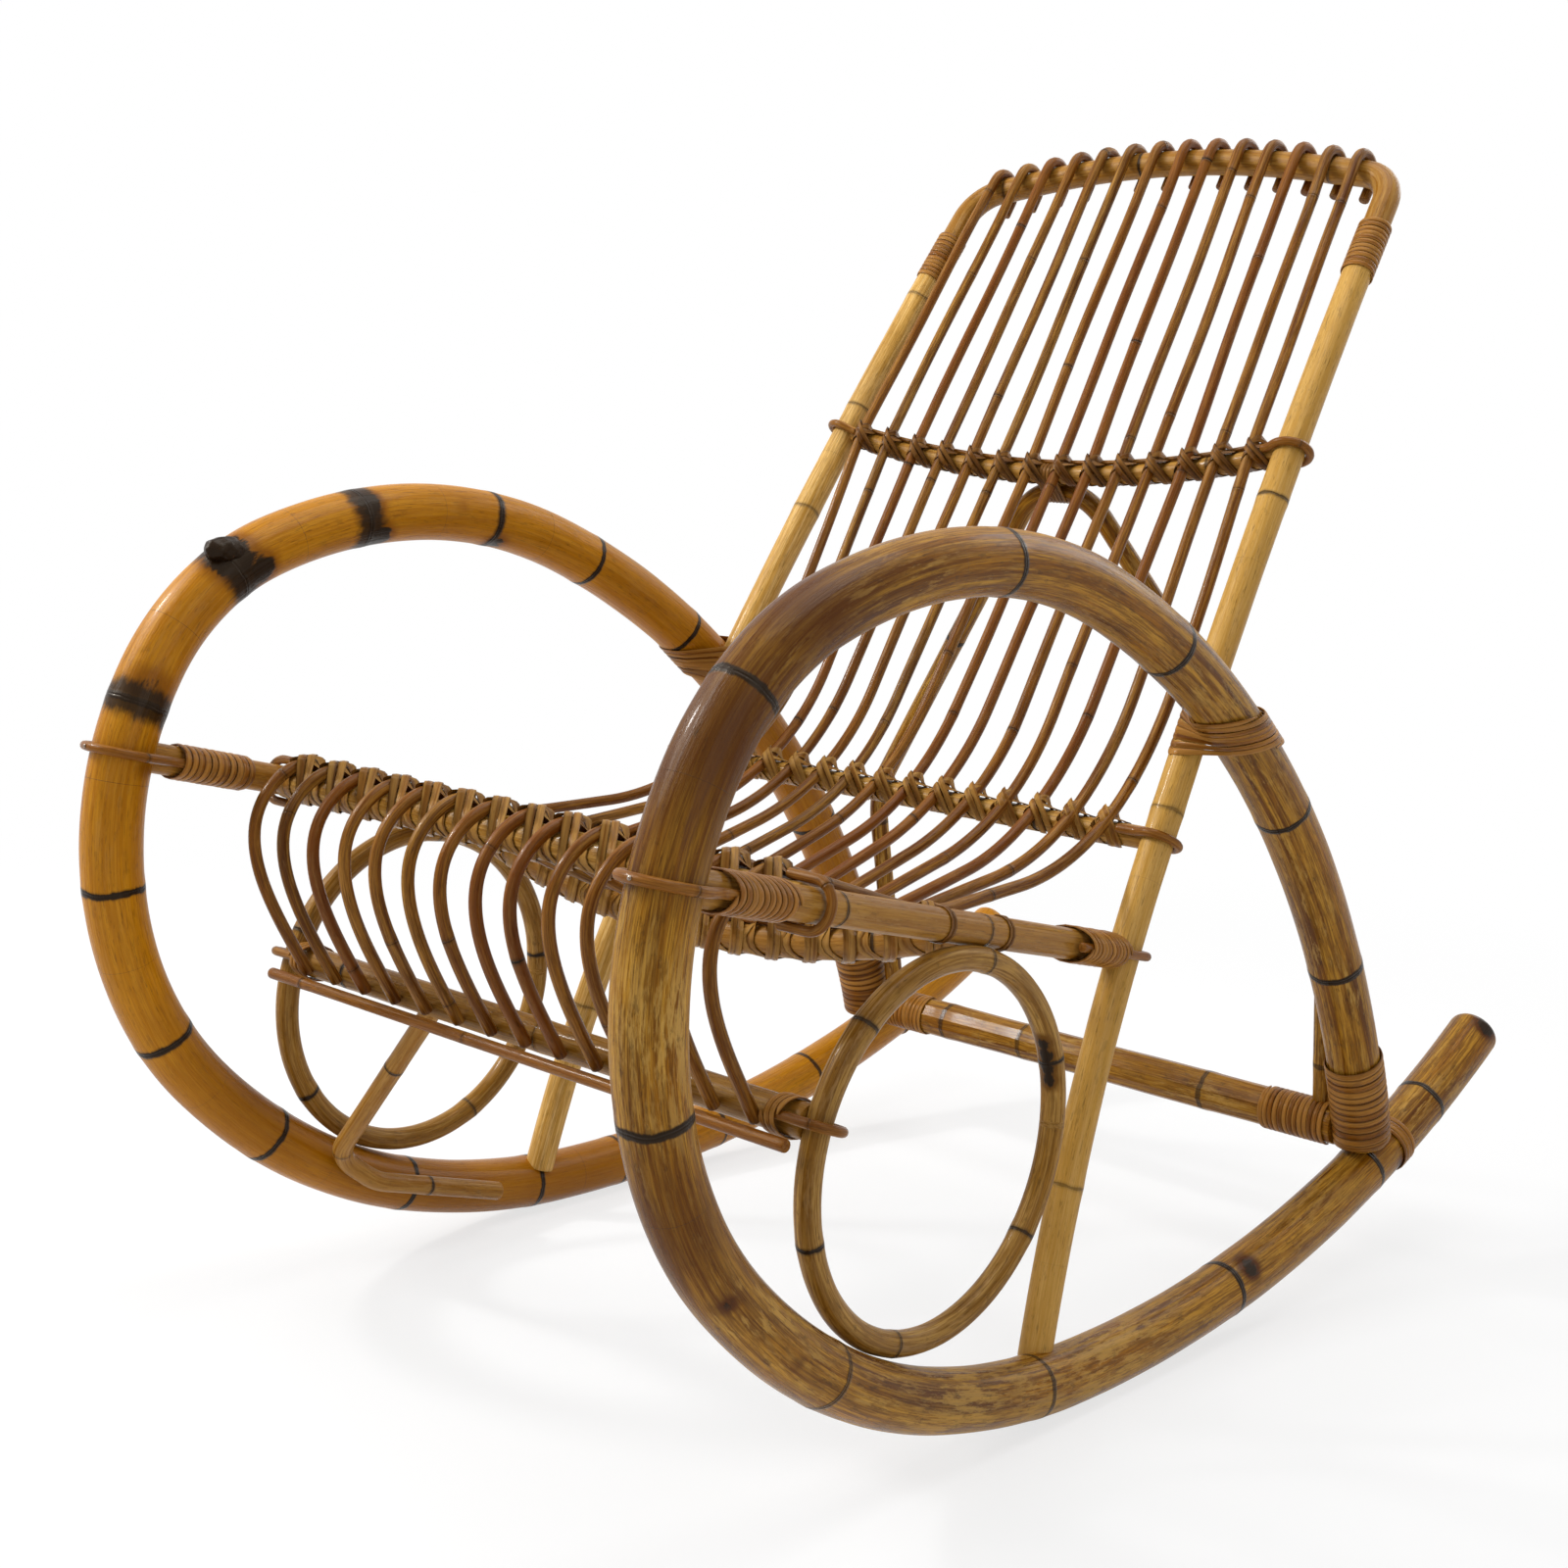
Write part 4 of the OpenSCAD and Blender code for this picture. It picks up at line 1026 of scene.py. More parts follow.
class Bench:
    """Models pieces with Blender's operators, and hands them to the frame."""

    plan: Layout = Layout()
    pieces: list[str] = []

    @staticmethod
    def clear() -> None:
        """Leave edit mode and deselect everything."""
        if bpy.context.object and bpy.context.object.mode != "OBJECT":
            bpy.ops.object.mode_set(mode="OBJECT")
        bpy.ops.object.select_all(action="DESELECT")

    @classmethod
    def take(cls, obj: bpy.types.Object) -> None:
        """Make the object the only selected and the active one.

        Args:
            obj: The object.
        """
        cls.clear()
        obj.select_set(True)
        bpy.context.view_layer.objects.active = obj

    @staticmethod
    def coords(obj: bpy.types.Object) -> Array:
        """Return the mesh's points.

        Args:
            obj: The object.

        Returns:
            Its points, one in each row.
        """
        co = np.empty(3 * len(obj.data.vertices))
        obj.data.vertices.foreach_get("co", co)
        return co.reshape(-1, 3)

    @staticmethod
    def put(obj: bpy.types.Object, points: Array) -> None:
        """Move the mesh's points to new places."""
        obj.data.vertices.foreach_set("co", points.astype(np.float32).ravel())
        obj.data.update()

    @staticmethod
    def note(obj: bpy.types.Object, name: str, values: Array | float) -> None:
        """Write a point attribute: numbers, vectors, or one number for all points.

        Args:
            obj: The piece.
            name: Name of the attribute.
            values: Its values.
        """
        if isinstance(values, float):
            values = np.full(len(obj.data.vertices), values)
        kind = "FLOAT_VECTOR" if values.ndim == 2 else "FLOAT"
        attr = obj.data.attributes.get(name) or obj.data.attributes.new(name, kind, "POINT")
        attr.data.foreach_set("vector" if values.ndim == 2 else "value", values.astype(np.float32).ravel())

    @classmethod
    def bar(cls, length: float, radius: float, sides: int, rings: int) -> bpy.types.Object:
        """Return a straight bar along X with evenly cut rings.

        Args:
            length: Length of the bar.
            radius: Its radius.
            sides: Number of its long faces.
            rings: Least number of parts along it.

        Returns:
            The bar, from X = 0.
        """
        cls.clear()
        bpy.ops.mesh.primitive_cylinder_add(vertices=sides, radius=radius, depth=length, end_fill_type="NGON",
                                            location=(length / 2, 0, 0), rotation=(0, math.pi / 2, 0))
        obj = bpy.context.object
        bpy.ops.object.transform_apply(location=True, rotation=True, scale=True)
        bpy.ops.object.mode_set(mode="EDIT")
        bpy.ops.mesh.select_mode(type="EDGE")
        first = max(1, math.ceil(math.sqrt(rings)))
        for cuts in (first, max(1, math.ceil(rings / first))):
            if cuts > 1:
                bpy.ops.mesh.select_all(action="DESELECT")
                bm = bmesh.from_edit_mesh(obj.data)
                for edge in bm.edges:
                    a, b = edge.verts
                    edge.select_set(abs(a.co.x - b.co.x) > 0.3 * length / rings)
                bmesh.update_edit_mesh(obj.data)
                bpy.ops.mesh.subdivide(number_cuts=cuts - 1)
        bpy.ops.object.mode_set(mode="OBJECT")
        return obj

    @classmethod
    def lay_along(cls, obj: bpy.types.Object, path: Array, swell: Array) -> None:
        """Bend a straight bar along a path with the Curve modifier.

        Args:
            obj: The bar along X, in metres.
            path: Points of its middle line, in metres, at even distances.
            swell: Scale of the bar's radius at each point.
        """
        data = bpy.data.curves.new("course", "CURVE")
        data.dimensions = "3D"
        data.twist_mode = "MINIMUM"
        spline = data.splines.new("POLY")
        spline.points.add(len(path) - 1)
        spline.points.foreach_set("co", np.column_stack([path, np.ones(len(path))]).ravel())
        spline.points.foreach_set("radius", swell)
        course = bpy.data.objects.new("course", data)
        bpy.context.collection.objects.link(course)
        cls.take(obj)
        bend = obj.modifiers.new("bend", "CURVE")
        bend.object = course
        bend.deform_axis = "POS_X"
        bpy.ops.object.modifier_apply(modifier="bend")
        bpy.data.objects.remove(course)
        bpy.data.curves.remove(data)

    @classmethod
    def finish(cls, obj: bpy.types.Object, name: str, finish: Finish, slot: Slot, nodes: Sequence[str],
               angle: float = 0.75) -> bpy.types.Object:
        """Name, shade and dress a piece, and hand it to the frame.

        Args:
            obj: The piece.
            name: Its name.
            finish: Its finish.
            slot: Not used.
            nodes: CAD nodes that it stands for.
            angle: Angle under which its faces are shaded as one.

        Returns:
            The piece.
        """
        cls.take(obj)
        bpy.ops.object.shade_smooth_by_angle(angle=angle)
        obj.name = name
        obj.data.name = name
        obj.data.materials.clear()
        obj.data.materials.append(finish.material())
        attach(obj, "root")
        if nodes:
            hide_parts(*nodes)
        cls.pieces.append(name)
        return obj

    @classmethod
    def joined(cls, objs: Sequence[bpy.types.Object]) -> bpy.types.Object:
        """Return the objects joined into the first one.

        Args:
            objs: The objects.

        Returns:
            The first object.
        """
        cls.clear()
        for obj in objs:
            obj.select_set(True)
        bpy.context.view_layer.objects.active = objs[0]
        if len(objs) > 1:
            bpy.ops.object.join()
        return objs[0]

    @classmethod
    def mirrored(cls, obj: bpy.types.Object, tone: float) -> bpy.types.Object:
        """Return a copy of the piece for the other side, with a grain of its own.

        Args:
            obj: The piece.
            tone: Number that picks the copy's shade.

        Returns:
            The copy.
        """
        twin = obj.copy()
        twin.data = obj.data.copy()
        bpy.context.collection.objects.link(twin)
        cls.take(twin)
        cls.put(twin, cls.coords(twin) * FLIP)
        bpy.ops.object.mode_set(mode="EDIT")
        bpy.ops.mesh.select_all(action="SELECT")
        bpy.ops.mesh.flip_normals()
        bpy.ops.object.mode_set(mode="OBJECT")
        cls.note(twin, "tone", tone)
        return twin


@dataclass
class Joint:
    """A growth ring of a cane: its place along it, darkness and swelling in millimetres."""

    at: float
    dark: float = 0.3
    swell: float = 0.35


@dataclass
class Spot:
    """A patch round a point of the working pose: its radius and strength."""

    at: tuple[float, float, float]
    reach: float
    strength: float


def spots(x: float, rows: Sequence[tuple[float, float, float, float, float]]) -> list[Spot]:
    """Return patches on a pole at x, from rows of offset, y, z, radius and strength."""
    return [Spot((x + off, y, z), reach, strength) for off, y, z, reach, strength in rows]


@dataclass
class Rod:
    """One cane: a bar with growth rings that is bent along a route.

    far is a distance beyond all effects of a growth ring, in metres.
    """

    far: ClassVar[float] = 0.06
    route: Array
    diameter: float
    joints: Sequence[Joint] = ()
    tone: float = 0.5
    sides: int = 16
    pitch: float = 6.0
    round_end: float = 1.4
    uneven: float = 0.012
    # Dark patches: real staining, and on the far pole also painted shade.
    stains_and_shade: Sequence[Spot] = ()
    rubbed: Sequence[Spot] = ()

    def make(self) -> bpy.types.Object:
        """Return the bent cane, in the rest pose."""
        path = spread(self.route, 2.5)
        length = length_of(path) / 1000
        parts = max(2, math.ceil(length * 1000 / self.pitch))
        obj = Bench.bar(length, self.diameter / 2000, self.sides, parts)
        self.round_ends(obj)
        self.note_rings(obj)
        Bench.lay_along(obj, Bench.plan.pose(path), self.swelling(np.linspace(0, length * 1000, len(path))))
        self.mark(obj, "stain", self.stains_and_shade)
        self.mark(obj, "rubbed", self.rubbed)
        return obj

    def piece(self, name: str, finish: Finish, slot: Slot, *nodes: str, angle: float = 0.75) -> None:
        """Model the cane and hand it to the frame, with the CAD nodes that it stands for."""
        Bench.finish(self.make(), name, finish, slot, nodes, angle)

    def round_ends(self, obj: bpy.types.Object) -> None:
        """Round the edges at both ends of the bar.

        Args:
            obj: The straight bar.
        """
        bevel = obj.modifiers.new("ends", "BEVEL")
        bevel.width = self.round_end / 1000
        bevel.segments = 4 if self.round_end > 4 else 2
        bevel.limit_method = "ANGLE"
        bevel.angle_limit = math.radians(50)
        Bench.take(obj)
        bpy.ops.object.modifier_apply(modifier="ends")

    def note_rings(self, obj: bpy.types.Object) -> None:
        """Write the straight bar's places, and the distance and darkness of the nearest growth ring.

        Args:
            obj: The straight bar.
        """
        lay = Bench.coords(obj)
        away, dark = np.full(len(lay), self.far), np.zeros(len(lay))
        for joint in self.joints:
            d = lay[:, 0] - joint.at / 1000
            near = np.abs(d) < np.abs(away)
            away[near] = d[near]
            dark[np.abs(d) < self.far] = joint.dark
        for name, values in (("lay", lay), ("ring_at", away), ("ring_dark", dark), ("tone", self.tone)):
            Bench.note(obj, name, values)

    def swelling(self, s: Array) -> Array:
        """Return the scale of the radius at each place: slow waves, and a ridge at each growth ring.

        Args:
            s: Places along the cane, in millimetres.

        Returns:
            The scales.
        """
        rng = random.Random(round(self.tone * 9973))
        swell = np.ones(len(s))
        for wave in (310, 140, 67):
            swell += self.uneven / 2 * np.sin(s / wave * 2 * math.pi + rng.uniform(0, 6.28)) * wave / 310
        for joint in self.joints:
            swell += joint.swell / (self.diameter / 2) * np.exp(-((s - joint.at) / 5.5) ** 2)
        return swell

    @staticmethod
    def mark(obj: bpy.types.Object, name: str, spots: Sequence[Spot]) -> None:
        """Write patches as an attribute of the piece.

        Args:
            obj: The piece.
            name: Name of the attribute.
            spots: The patches.
        """
        co = Bench.coords(obj)
        value = np.zeros(len(co))
        for spot in spots:
            at = Bench.plan.pose(np.array(spot.at))[0]
            d = np.linalg.norm(co - at, axis=1) / (spot.reach / 1000)
            value = np.maximum(value, spot.strength * np.clip(1.35 - d, 0, 1))
        Bench.note(obj, name, value)


@dataclass
class Wrapped:
    """What a strip of peel goes round: sections in a frame of its own.

    A section is u, v, a, b and k: the middle and the half axes of an ellipse, and its
    shift along v for each millimetre along Z.
    """

    sections: Sequence[tuple[float, float, float, float, float]]
    at: Array
    ez: Array
    toward: Array
    spine: Optional[Callable[[Array], tuple[Array, Array]]] = None

    def __post_init__(self) -> None:
        """Set up the frame's other axes."""
        self.ez = unit(self.ez)
        self.ex = unit(self.toward - self.ez * float(self.toward @ self.ez))
        self.ey = np.cross(self.ez, self.ex)

    def place(self, phi: Array, z: Array, mid: Array, lift: Array) -> Array:
        """Return points on the wrapped form.

        Args:
            phi: Angle of the outward normal.
            z: Place along Z of each point.
            mid: Place along Z of the strip's middle there.
            lift: Height over the form.

        Returns:
            The points in the working pose.
        """
        uv = self.contour(phi, z, mid) + np.column_stack([np.cos(phi) * lift, np.sin(phi) * lift])
        if self.spine:
            middle, out = self.spine(z)
            return middle + out * uv[:, :1] + np.outer(uv[:, 1], self.ey)
        return self.at + np.outer(uv[:, 0], self.ex) + np.outer(uv[:, 1], self.ey) + np.outer(z, self.ez)

    def contour(self, phi: Array, z: Array, mid: Array) -> Array:
        """Return the points of the form's outline that face the angles phi.

        Args:
            phi: Angle of the outward normal.
            z: Place along Z of each point.
            mid: Place along Z of the strip's middle there.

        Returns:
            U and v of each point.
        """
        c, s = np.cos(phi), np.sin(phi)
        best = np.full(len(phi), -1e9)
        uv = np.zeros((len(phi), 2))
        for u, v, a, b, k in self.sections:
            reach = np.hypot(a * c, b * s)
            support = u * c + (v + k * mid) * s + reach
            hit = support > best
            best[hit] = support[hit]
            spot = np.column_stack([u + a * a * c / reach, v + k * z + b * b * s / reach])
            uv[hit] = spot[hit]
        return uv

    def gone(self, phi: Array) -> Array:
        """Return how far round the form the angles are, in turns by length.

        Args:
            phi: The angles.

        Returns:
            The turns.
        """
        ring = np.linspace(0, 2 * math.pi, 361)
        line = self.contour(ring, np.zeros(361), np.zeros(361))
        s = np.concatenate([[0.0], np.cumsum(np.linalg.norm(np.diff(line, axis=0), axis=1))])
        whole = np.floor(phi / (2 * math.pi))
        return whole + np.interp(phi - whole * 2 * math.pi, ring, s / s[-1])


class Strips:
    """Strips of peel: long ones that wind, and closed ones for knots."""

    sides: int = 8
    tube: float = 0.2
    tube_half: float = 0.19
    ring: Optional[bpy.types.Mesh] = None

    @classmethod
    def winding(cls, form: Wrapped, turns: float, pitch: float, width: float, tone: float, thick: float = 1.5,
                lift: float = 0.15, per_turn: int = 26) -> bpy.types.Object:
        """Return a strip wound round a form.

        Args:
            form: What it goes round.
            turns: Number of turns.
            pitch: Step from turn to turn, in millimetres.
            width: Width of the strip.
            tone: Number from 0 to 1 that picks its shade.
            thick: Its thickness.
            lift: Its height over the form.
            per_turn: Parts of the strip in a turn.

        Returns:
            The strip in the rest pose.
        """
        obj = Bench.bar(1.0, 0.5, cls.sides, round(turns * per_turn))
        co = Bench.coords(obj)
        half_side = math.pi / cls.sides
        angle = np.arctan2(co[:, 2], co[:, 1]) + half_side
        across, up = (np.clip(f(angle) / math.cos(half_side), -1, 1) for f in (np.cos, np.sin))
        t = co[:, 0]
        rng = random.Random(round(tone * 7919))
        waver = sum(0.22 * np.sin(t * turns * 2 * math.pi * f + rng.uniform(0, 6.28)) for f in (0.31, 0.73))
        end = np.minimum(1, np.minimum(t, 1 - t) * turns * 9 + 0.25)
        phi = t * turns * 2 * math.pi
        gone = form.gone(phi)
        mid = (gone - gone.min() - turns / 2) * pitch + waver * 0.7
        z = mid + across * width / 2 * (0.94 + 0.06 * np.sin(phi * 0.37)) * end
        points = form.place(phi, z, mid, lift + thick / 2 * (1 + up))
        mean = max(s[2] + abs(s[0]) for s in form.sections)
        lay = np.column_stack([t * turns * 2 * math.pi * mean, across * width / 2, up * thick])
        return cls.laid(obj, points, lay, tone)

    @classmethod
    def knot(cls, form: Wrapped, z: float, width: float, thick: float, tone: float,
             lift: float) -> bpy.types.Object:
        """Return a closed strip round a form at place z along its axis.

        Args:
            form: What it goes round.
            z: Its place along the form.
            width: Width of the strip.
            thick: Its thickness.
            tone: Number that picks its shade.
            lift: Its height over the form.

        Returns:
            The strip in the rest pose.
        """
        if cls.ring is None:
            Bench.clear()
            bpy.ops.mesh.primitive_torus_add(major_segments=14, minor_segments=5, major_radius=1.0,
                                             minor_radius=cls.tube)
            first = bpy.context.object
            cls.ring = first.data.copy()
            bpy.data.objects.remove(first)
        obj = bpy.data.objects.new("knot", cls.ring.copy())
        bpy.context.collection.objects.link(obj)
        co = Bench.coords(obj)
        phi = np.arctan2(co[:, 1], co[:, 0])
        up, across = (np.hypot(co[:, 0], co[:, 1]) - 1) / cls.tube, co[:, 2] / cls.tube_half
        level = np.full(len(co), z)
        points = form.place(phi, level + across * width / 2, level, lift + thick / 2 * (1 + up))
        lay = np.column_stack([phi * 20, across * width / 2, up * thick])
        return cls.laid(obj, points, lay, tone)

    @staticmethod
    def laid(obj: bpy.types.Object, points: Array, lay: Array, tone: float) -> bpy.types.Object:
        """Put a strip's points in place and write its attributes.

        Args:
            obj: The strip.
            points: Its points in the working pose.
            lay: Places along, across and through the strip, in millimetres.
            tone: Number that picks its shade.

        Returns:
            The strip.
        """
        Bench.note(obj, "lay", lay / 1000)
        Bench.note(obj, "tone", tone)
        Bench.put(obj, Bench.plan.pose(points))
        return obj

    @staticmethod
    def crossing(a: tuple, b: tuple, way: int) -> Wrapped:
        """Return the form of two crossed rods, each a point, a direction and a radius.

        Args:
            a: The first rod.
            b: The second rod, which lies outward.
            way: The diagonal: 1 or -1.

        Returns:
            The form, with its Z halfway between the rods.
        """
        d = b[0] - a[0]
        k = float(a[1] @ b[1])
        s = (float(d @ a[1]) - k * float(d @ b[1])) / (1 - k * k)
        fa, fb = a[0] + a[1] * s, b[0] + b[1] * (k * s - float(d @ b[1]))
        ex, ez = unit(fb - fa), unit(b[1] + a[1] * way)
        ey = np.cross(ez, ex)
        sections = []
        for u, way_of, r in ((float(np.linalg.norm(fb - fa)), b[1], b[2]), (0.0, a[1], a[2])):
            along = float(way_of @ ez)
            sections.append((u, 0.0, r, r / abs(along), float(way_of @ ey) / along))
        return Wrapped(sections, fa, ez, ex)


# --- the poles

def evenly(length: float, step: float, seed: int, dark: float = 0.3, swell: float = 0.3) -> list[Joint]:
    """Return growth rings at about even steps along a cane.

    Args:
        length: Length of the cane.
        step: Mean distance between the rings.
        seed: Seed of their scatter.
        dark: Their mean darkness.
        swell: Their swelling.

    Returns:
        The rings.
    """
    rng = random.Random(seed)
    at, out = rng.uniform(0.2, 0.8) * step, []
    while at < length - 15:
        out.append(Joint(at, dark * rng.uniform(0.5, 1.5), swell * rng.uniform(0.6, 1.3)))
        at += step * rng.uniform(0.8, 1.25)
    return out


def grown(*rows: tuple[float, ...]) -> list[Joint]:
    """Return growth rings from rows of place, darkness and swelling."""
    return [Joint(*row) for row in rows]


@dataclass
class Hoops:
    """The two thick poles, each runner, front and armrest in one."""

    plan: Layout
    play: float = 0.6
    ridge: float = 0.45
    near_joints: tuple = (
        (116, .55), (228, .5), (460, .62), (721, .35), (969, .3), (1229, .6),
        (1486, .5), (1739, .45), (1956, .55), (2188, .5), (2370, .6), (2500, .3))
    far_joints: tuple = (
        (60, .3), (190, .4), (330, .4), (470, .4), (600, .4), (705, .55), (851, .5), (1005, .6), (1139, .62),
        (1266, .6), (1404, .95), (1526, .98), (1651, .95), (1784, .7), (1904, .55), (2040, .5), (2170, .45),
        (2320, .45), (2470, .35))
    near_stains: tuple = (
        (14, 627, 214, 12, 0.95), (6, 560, 172, 9, 0.8), (14, 540, 140, 8, 0.9), (14, 470, 112, 11, 0.75),
        (8, -300, 595, 10, 0.85), (14, -395, 170, 9, 0.8), (14, -330, 118, 8, 0.8), (14, -355, 140, 6, 0.7),
        (14, 230, 62, 12, 0.7), (-6, -428, 500, 85, 0.33), (-6, -365, 572, 60, 0.33),
        (0, -440, 210, 60, 0.25))
    near_rubbed: tuple = (
        (14, -458, 345, 46, 0.95), (14, -452, 290, 30, 0.6), (14, -150, 42, 70, 0.75), (14, 40, 22, 90, 0.8),
        (14, -60, 24, 60, 0.6), (14, 120, 535, 60, 0.5), (14, 330, 105, 70, 0.35))
    # Dark patches of the far pole: the small strong ones are real dark marks round the burl and on the pole;
    # the broad weak ones, reaching 80 to 120 mm, are painted shade that darkens its runner and its rear.
    far_stains_and_shade: tuple = (
        (12, -382, 566, 22, 1.0), (16, -360, 560, 15, 1.0), (12, -171, 616, 9, 0.9), (14, -150, 610, 7, 0.8),
        (10, -445, 470, 16, 0.9), (16, -452, 410, 8, 0.7), (14, -262, 612, 15, 0.95),
        (14, -250, 590, 14, 0.95), (12, -128, 590, 12, 0.7), (10, -330, 150, 110, 0.22),
        (10, -180, 50, 120, 0.24), (10, 0, 24, 120, 0.24), (14, 180, 500, 80, 0.2),
        (14, 240, 400, 110, 0.24), (14, 290, 280, 100, 0.24))
    burl_at: tuple = (10, -385, 572)
    burl_r: float = 0.014

    def build(self) -> None:
        """Model both poles and the burl."""
        x = self.plan.half
        near = spots(x, self.near_stains), spots(x, self.near_rubbed)
        self.pole(Side.RIGHT, NEAR_POLE, 0.31, self.near_joints, *near)
        self.pole(Side.LEFT, FAR_POLE, 0.67, self.far_joints, spots(-x, self.far_stains_and_shade), [])
        self.burl()

    def route(self, side: Side) -> Array:
        """Return the course of a pole from its tail to its rear end.

        Args:
            side: Side of the chair.

        Returns:
            The points of its middle line.
        """
        p = self.plan
        back = (p.tail_end[0], p.tail_end[1], p.tail_end[2] + 180)
        line = chain(back, ((-p.tail_turn, p.tail_r), (-p.tail_lead, p.runner_r)) + p.hoop_steps)
        return np.array([[side.value * p.half, s[0], s[1]] for s in line])

    def pole(self, side: Side, finish: Finish, tone: float, joints: Sequence[tuple[float, float]],
             stains_and_shade: Sequence[Spot], rubbed: Sequence[Spot]) -> None:
        """Model one pole.

        Args:
            side: Its side of the chair.
            finish: Its finish.
            tone: Number that picks its shade.
            joints: Place and darkness of its growth rings.
            stains_and_shade: Its dark patches.
            rubbed: Its rubbed patches.
        """
        name = side.name.lower()
        rings = [Joint(*j, self.ridge) for j in joints]
        rod = Rod(self.route(side), self.plan.pole_d - self.play, rings, tone, sides=40, pitch=5.5,
                  round_end=7.0, uneven=0.014, stains_and_shade=stains_and_shade, rubbed=rubbed)
        rod.piece("runner_arm_pole_" + name, finish, Slot.POLE, "hoop_" + name)

    def burl(self) -> None:
        """Model the black burl on the left pole: a low knob pressed out of a ball."""
        Bench.clear()
        at = self.plan.pose(vec(-self.plan.half, 0, 0) + vec(*self.burl_at))[0]
        bpy.ops.mesh.primitive_ico_sphere_add(subdivisions=4, radius=self.burl_r)
        obj = bpy.context.object
        bpy.ops.object.mode_set(mode="EDIT")
        bpy.ops.mesh.select_all(action="SELECT")
        bpy.ops.transform.resize(value=(0.8, 1.2, 0.72), center_override=(0, 0, 0))
        bpy.ops.object.mode_set(mode="OBJECT")
        d = Bench.coords(obj)
        wave = 1 + 0.05 * np.sin(d[:, 1] * 620) * np.cos(d[:, 2] * 510) + 0.03 * np.sin(d[:, 0] * 900)
        Bench.put(obj, at + d * wave[:, None])
        values = {"lay": d + at, "tone": 0.67, "stain": 0.72, "ring_at": Rod.far, "ring_dark": 0.0,
                  "rubbed": 0.0}
        for name, value in values.items():
            Bench.note(obj, name, value)
        Bench.finish(obj, "burl_left", FAR_POLE, Slot.POLE, [])


@dataclass
class BackFrame:
    """The two back posts, the top rail, the middle and low rails and the arched brace."""

    plan: Layout
    near_joints: tuple = ((128, .2), (420, .2), (697, .35), (935, .15))
    far_joints: tuple = ((150, .2), (400, .15), (655, .2), (770, .25), (900, .2))
    post_start: float = 36.0
    thin_d: float = 4.2
    arch_bend: float = 100.0
    arch_steep: float = 54.0

    def build(self) -> None:
        """Model the frame of the back."""
        self.post(Side.RIGHT, self.near_joints, 0.12, [])
        rubbed = Spot((45 - self.plan.post_foot_x, 290, 740), 40, 0.5)
        self.post(Side.LEFT, self.far_joints, 0.43, [rubbed])
        self.top()
        self.cross_rails()
        self.arch()

    def post(self, side: Side, joints: Sequence[tuple[float, float]], tone: float,
             rubbed: list[Spot]) -> None:
        """Model one post, from its runner to the top rail.

        Args:
            side: Its side of the chair.
            joints: Place and darkness of its growth rings.
            tone: Number that picks its shade.
            rubbed: Its rubbed patches.
        """
        p = self.plan
        lean = math.radians(p.post_lean)
        line = [s for s in p.post_line if s[1] > self.post_start][::2] + [p.post_line[-1]]
        route = np.array([[side.value * (p.post_foot_x - (s[1] - p.pivot_z) * math.sin(lean)), s[0],
                           p.pivot_z + (s[1] - p.pivot_z) * math.cos(lean)] for s in line])
        rod = Rod(route, p.post_d, [Joint(*j, 0.4) for j in joints], tone, sides=24, round_end=1.0,
                  uneven=0.02, rubbed=rubbed)
        name = side.name.lower()
        rod.piece("back_post_cane_" + name, POST, Slot.RAIL, "post_" + name)

    def top(self) -> None:
        """Model the top rail."""
        p = self.plan
        start = p.top_start + p.top_go * p.gap
        points = [start, p.top_corner, p.top_mid, p.top_corner * FLIP, start * FLIP]
        route = filleted(points, [0, p.corner_r, p.top_bow_r, p.corner_r, 0])
        rod = Rod(route, p.top_d, grown((130, .3, .4), (328, .4, .5), (480, .3, .4)), 0.22, sides=20,
                  pitch=4.5, round_end=1.0)
        rod.piece("top_rail_cane", RAIL, Slot.RAIL, "top_rail")

    def cross_rails(self) -> None:
        """Model the sagging middle rail with the thin cane on it, and the low rail."""
        p = self.plan
        reach = p.mid_at[0] - p.post_r + 3
        route = np.array([vec(x, *p.mid_yz(x)) for x in np.linspace(-reach, reach, 60)])
        rod = Rod(route, p.mid_d, evenly(2 * reach, 150, 5), 0.34, pitch=5.0, round_end=0.8)
        rod.piece("middle_rail_cane", RAIL, Slot.RAIL, "mid_back_rail")
        up = -p.mid_down[1:] * (p.mid_d / 2 + self.thin_d / 2) + vec(0.3, 0.1)
        thin = np.array([vec(x, *(p.mid_yz(x) + up)) for x in np.linspace(-reach + 12, reach - 12, 60)])
        rod = Rod(thin, self.thin_d, evenly(2 * reach, 120, 9, 0.25, 0.1), 0.85, sides=10, pitch=5.0,
                  round_end=0.6)
        rod.piece("middle_rail_thin_cane", SPINDLE, Slot.SPINDLE)
        reach = p.low_at[0] - p.post_r + 3
        rod = Rod(p.across(reach, p.low_at[1:]), p.low_d, evenly(2 * reach, 170, 12), 0.71, round_end=0.8)
        rod.piece("low_back_rail_cane", RAIL, Slot.RAIL, "low_back_rail")

    def arch(self) -> None:
        """Model the arched brace behind the back."""
        p = self.plan
        foot_x = p.half - p.pole_r - p.arch_d / 2 - p.peel_t - 4
        leg = vec(foot_x + 6, 100, -(foot_x + 6) * math.tan(math.radians(self.arch_steep)))
        peak = p.arch_top - p.arch_r * (float(np.linalg.norm(leg)) / leg[0] - 1) * unit(leg[1:])
        top = vec(0, *peak)
        knee = top + leg
        foot = vec(foot_x, p.stretcher_at[0] + 3, p.stretcher_at[1] + p.stretcher_d / 2 - 4)
        route = filleted([foot, knee, top, knee * FLIP, foot * FLIP],
                         [0, self.arch_bend, p.arch_r, self.arch_bend, 0])
        rod = Rod(route, p.arch_d, evenly(length_of(route), 190, 31, 0.45), 0.57, sides=18, pitch=4.5,
                  round_end=0.8)
        rod.piece("back_arch_cane", NEAR_POLE, Slot.POLE, "back_arch")


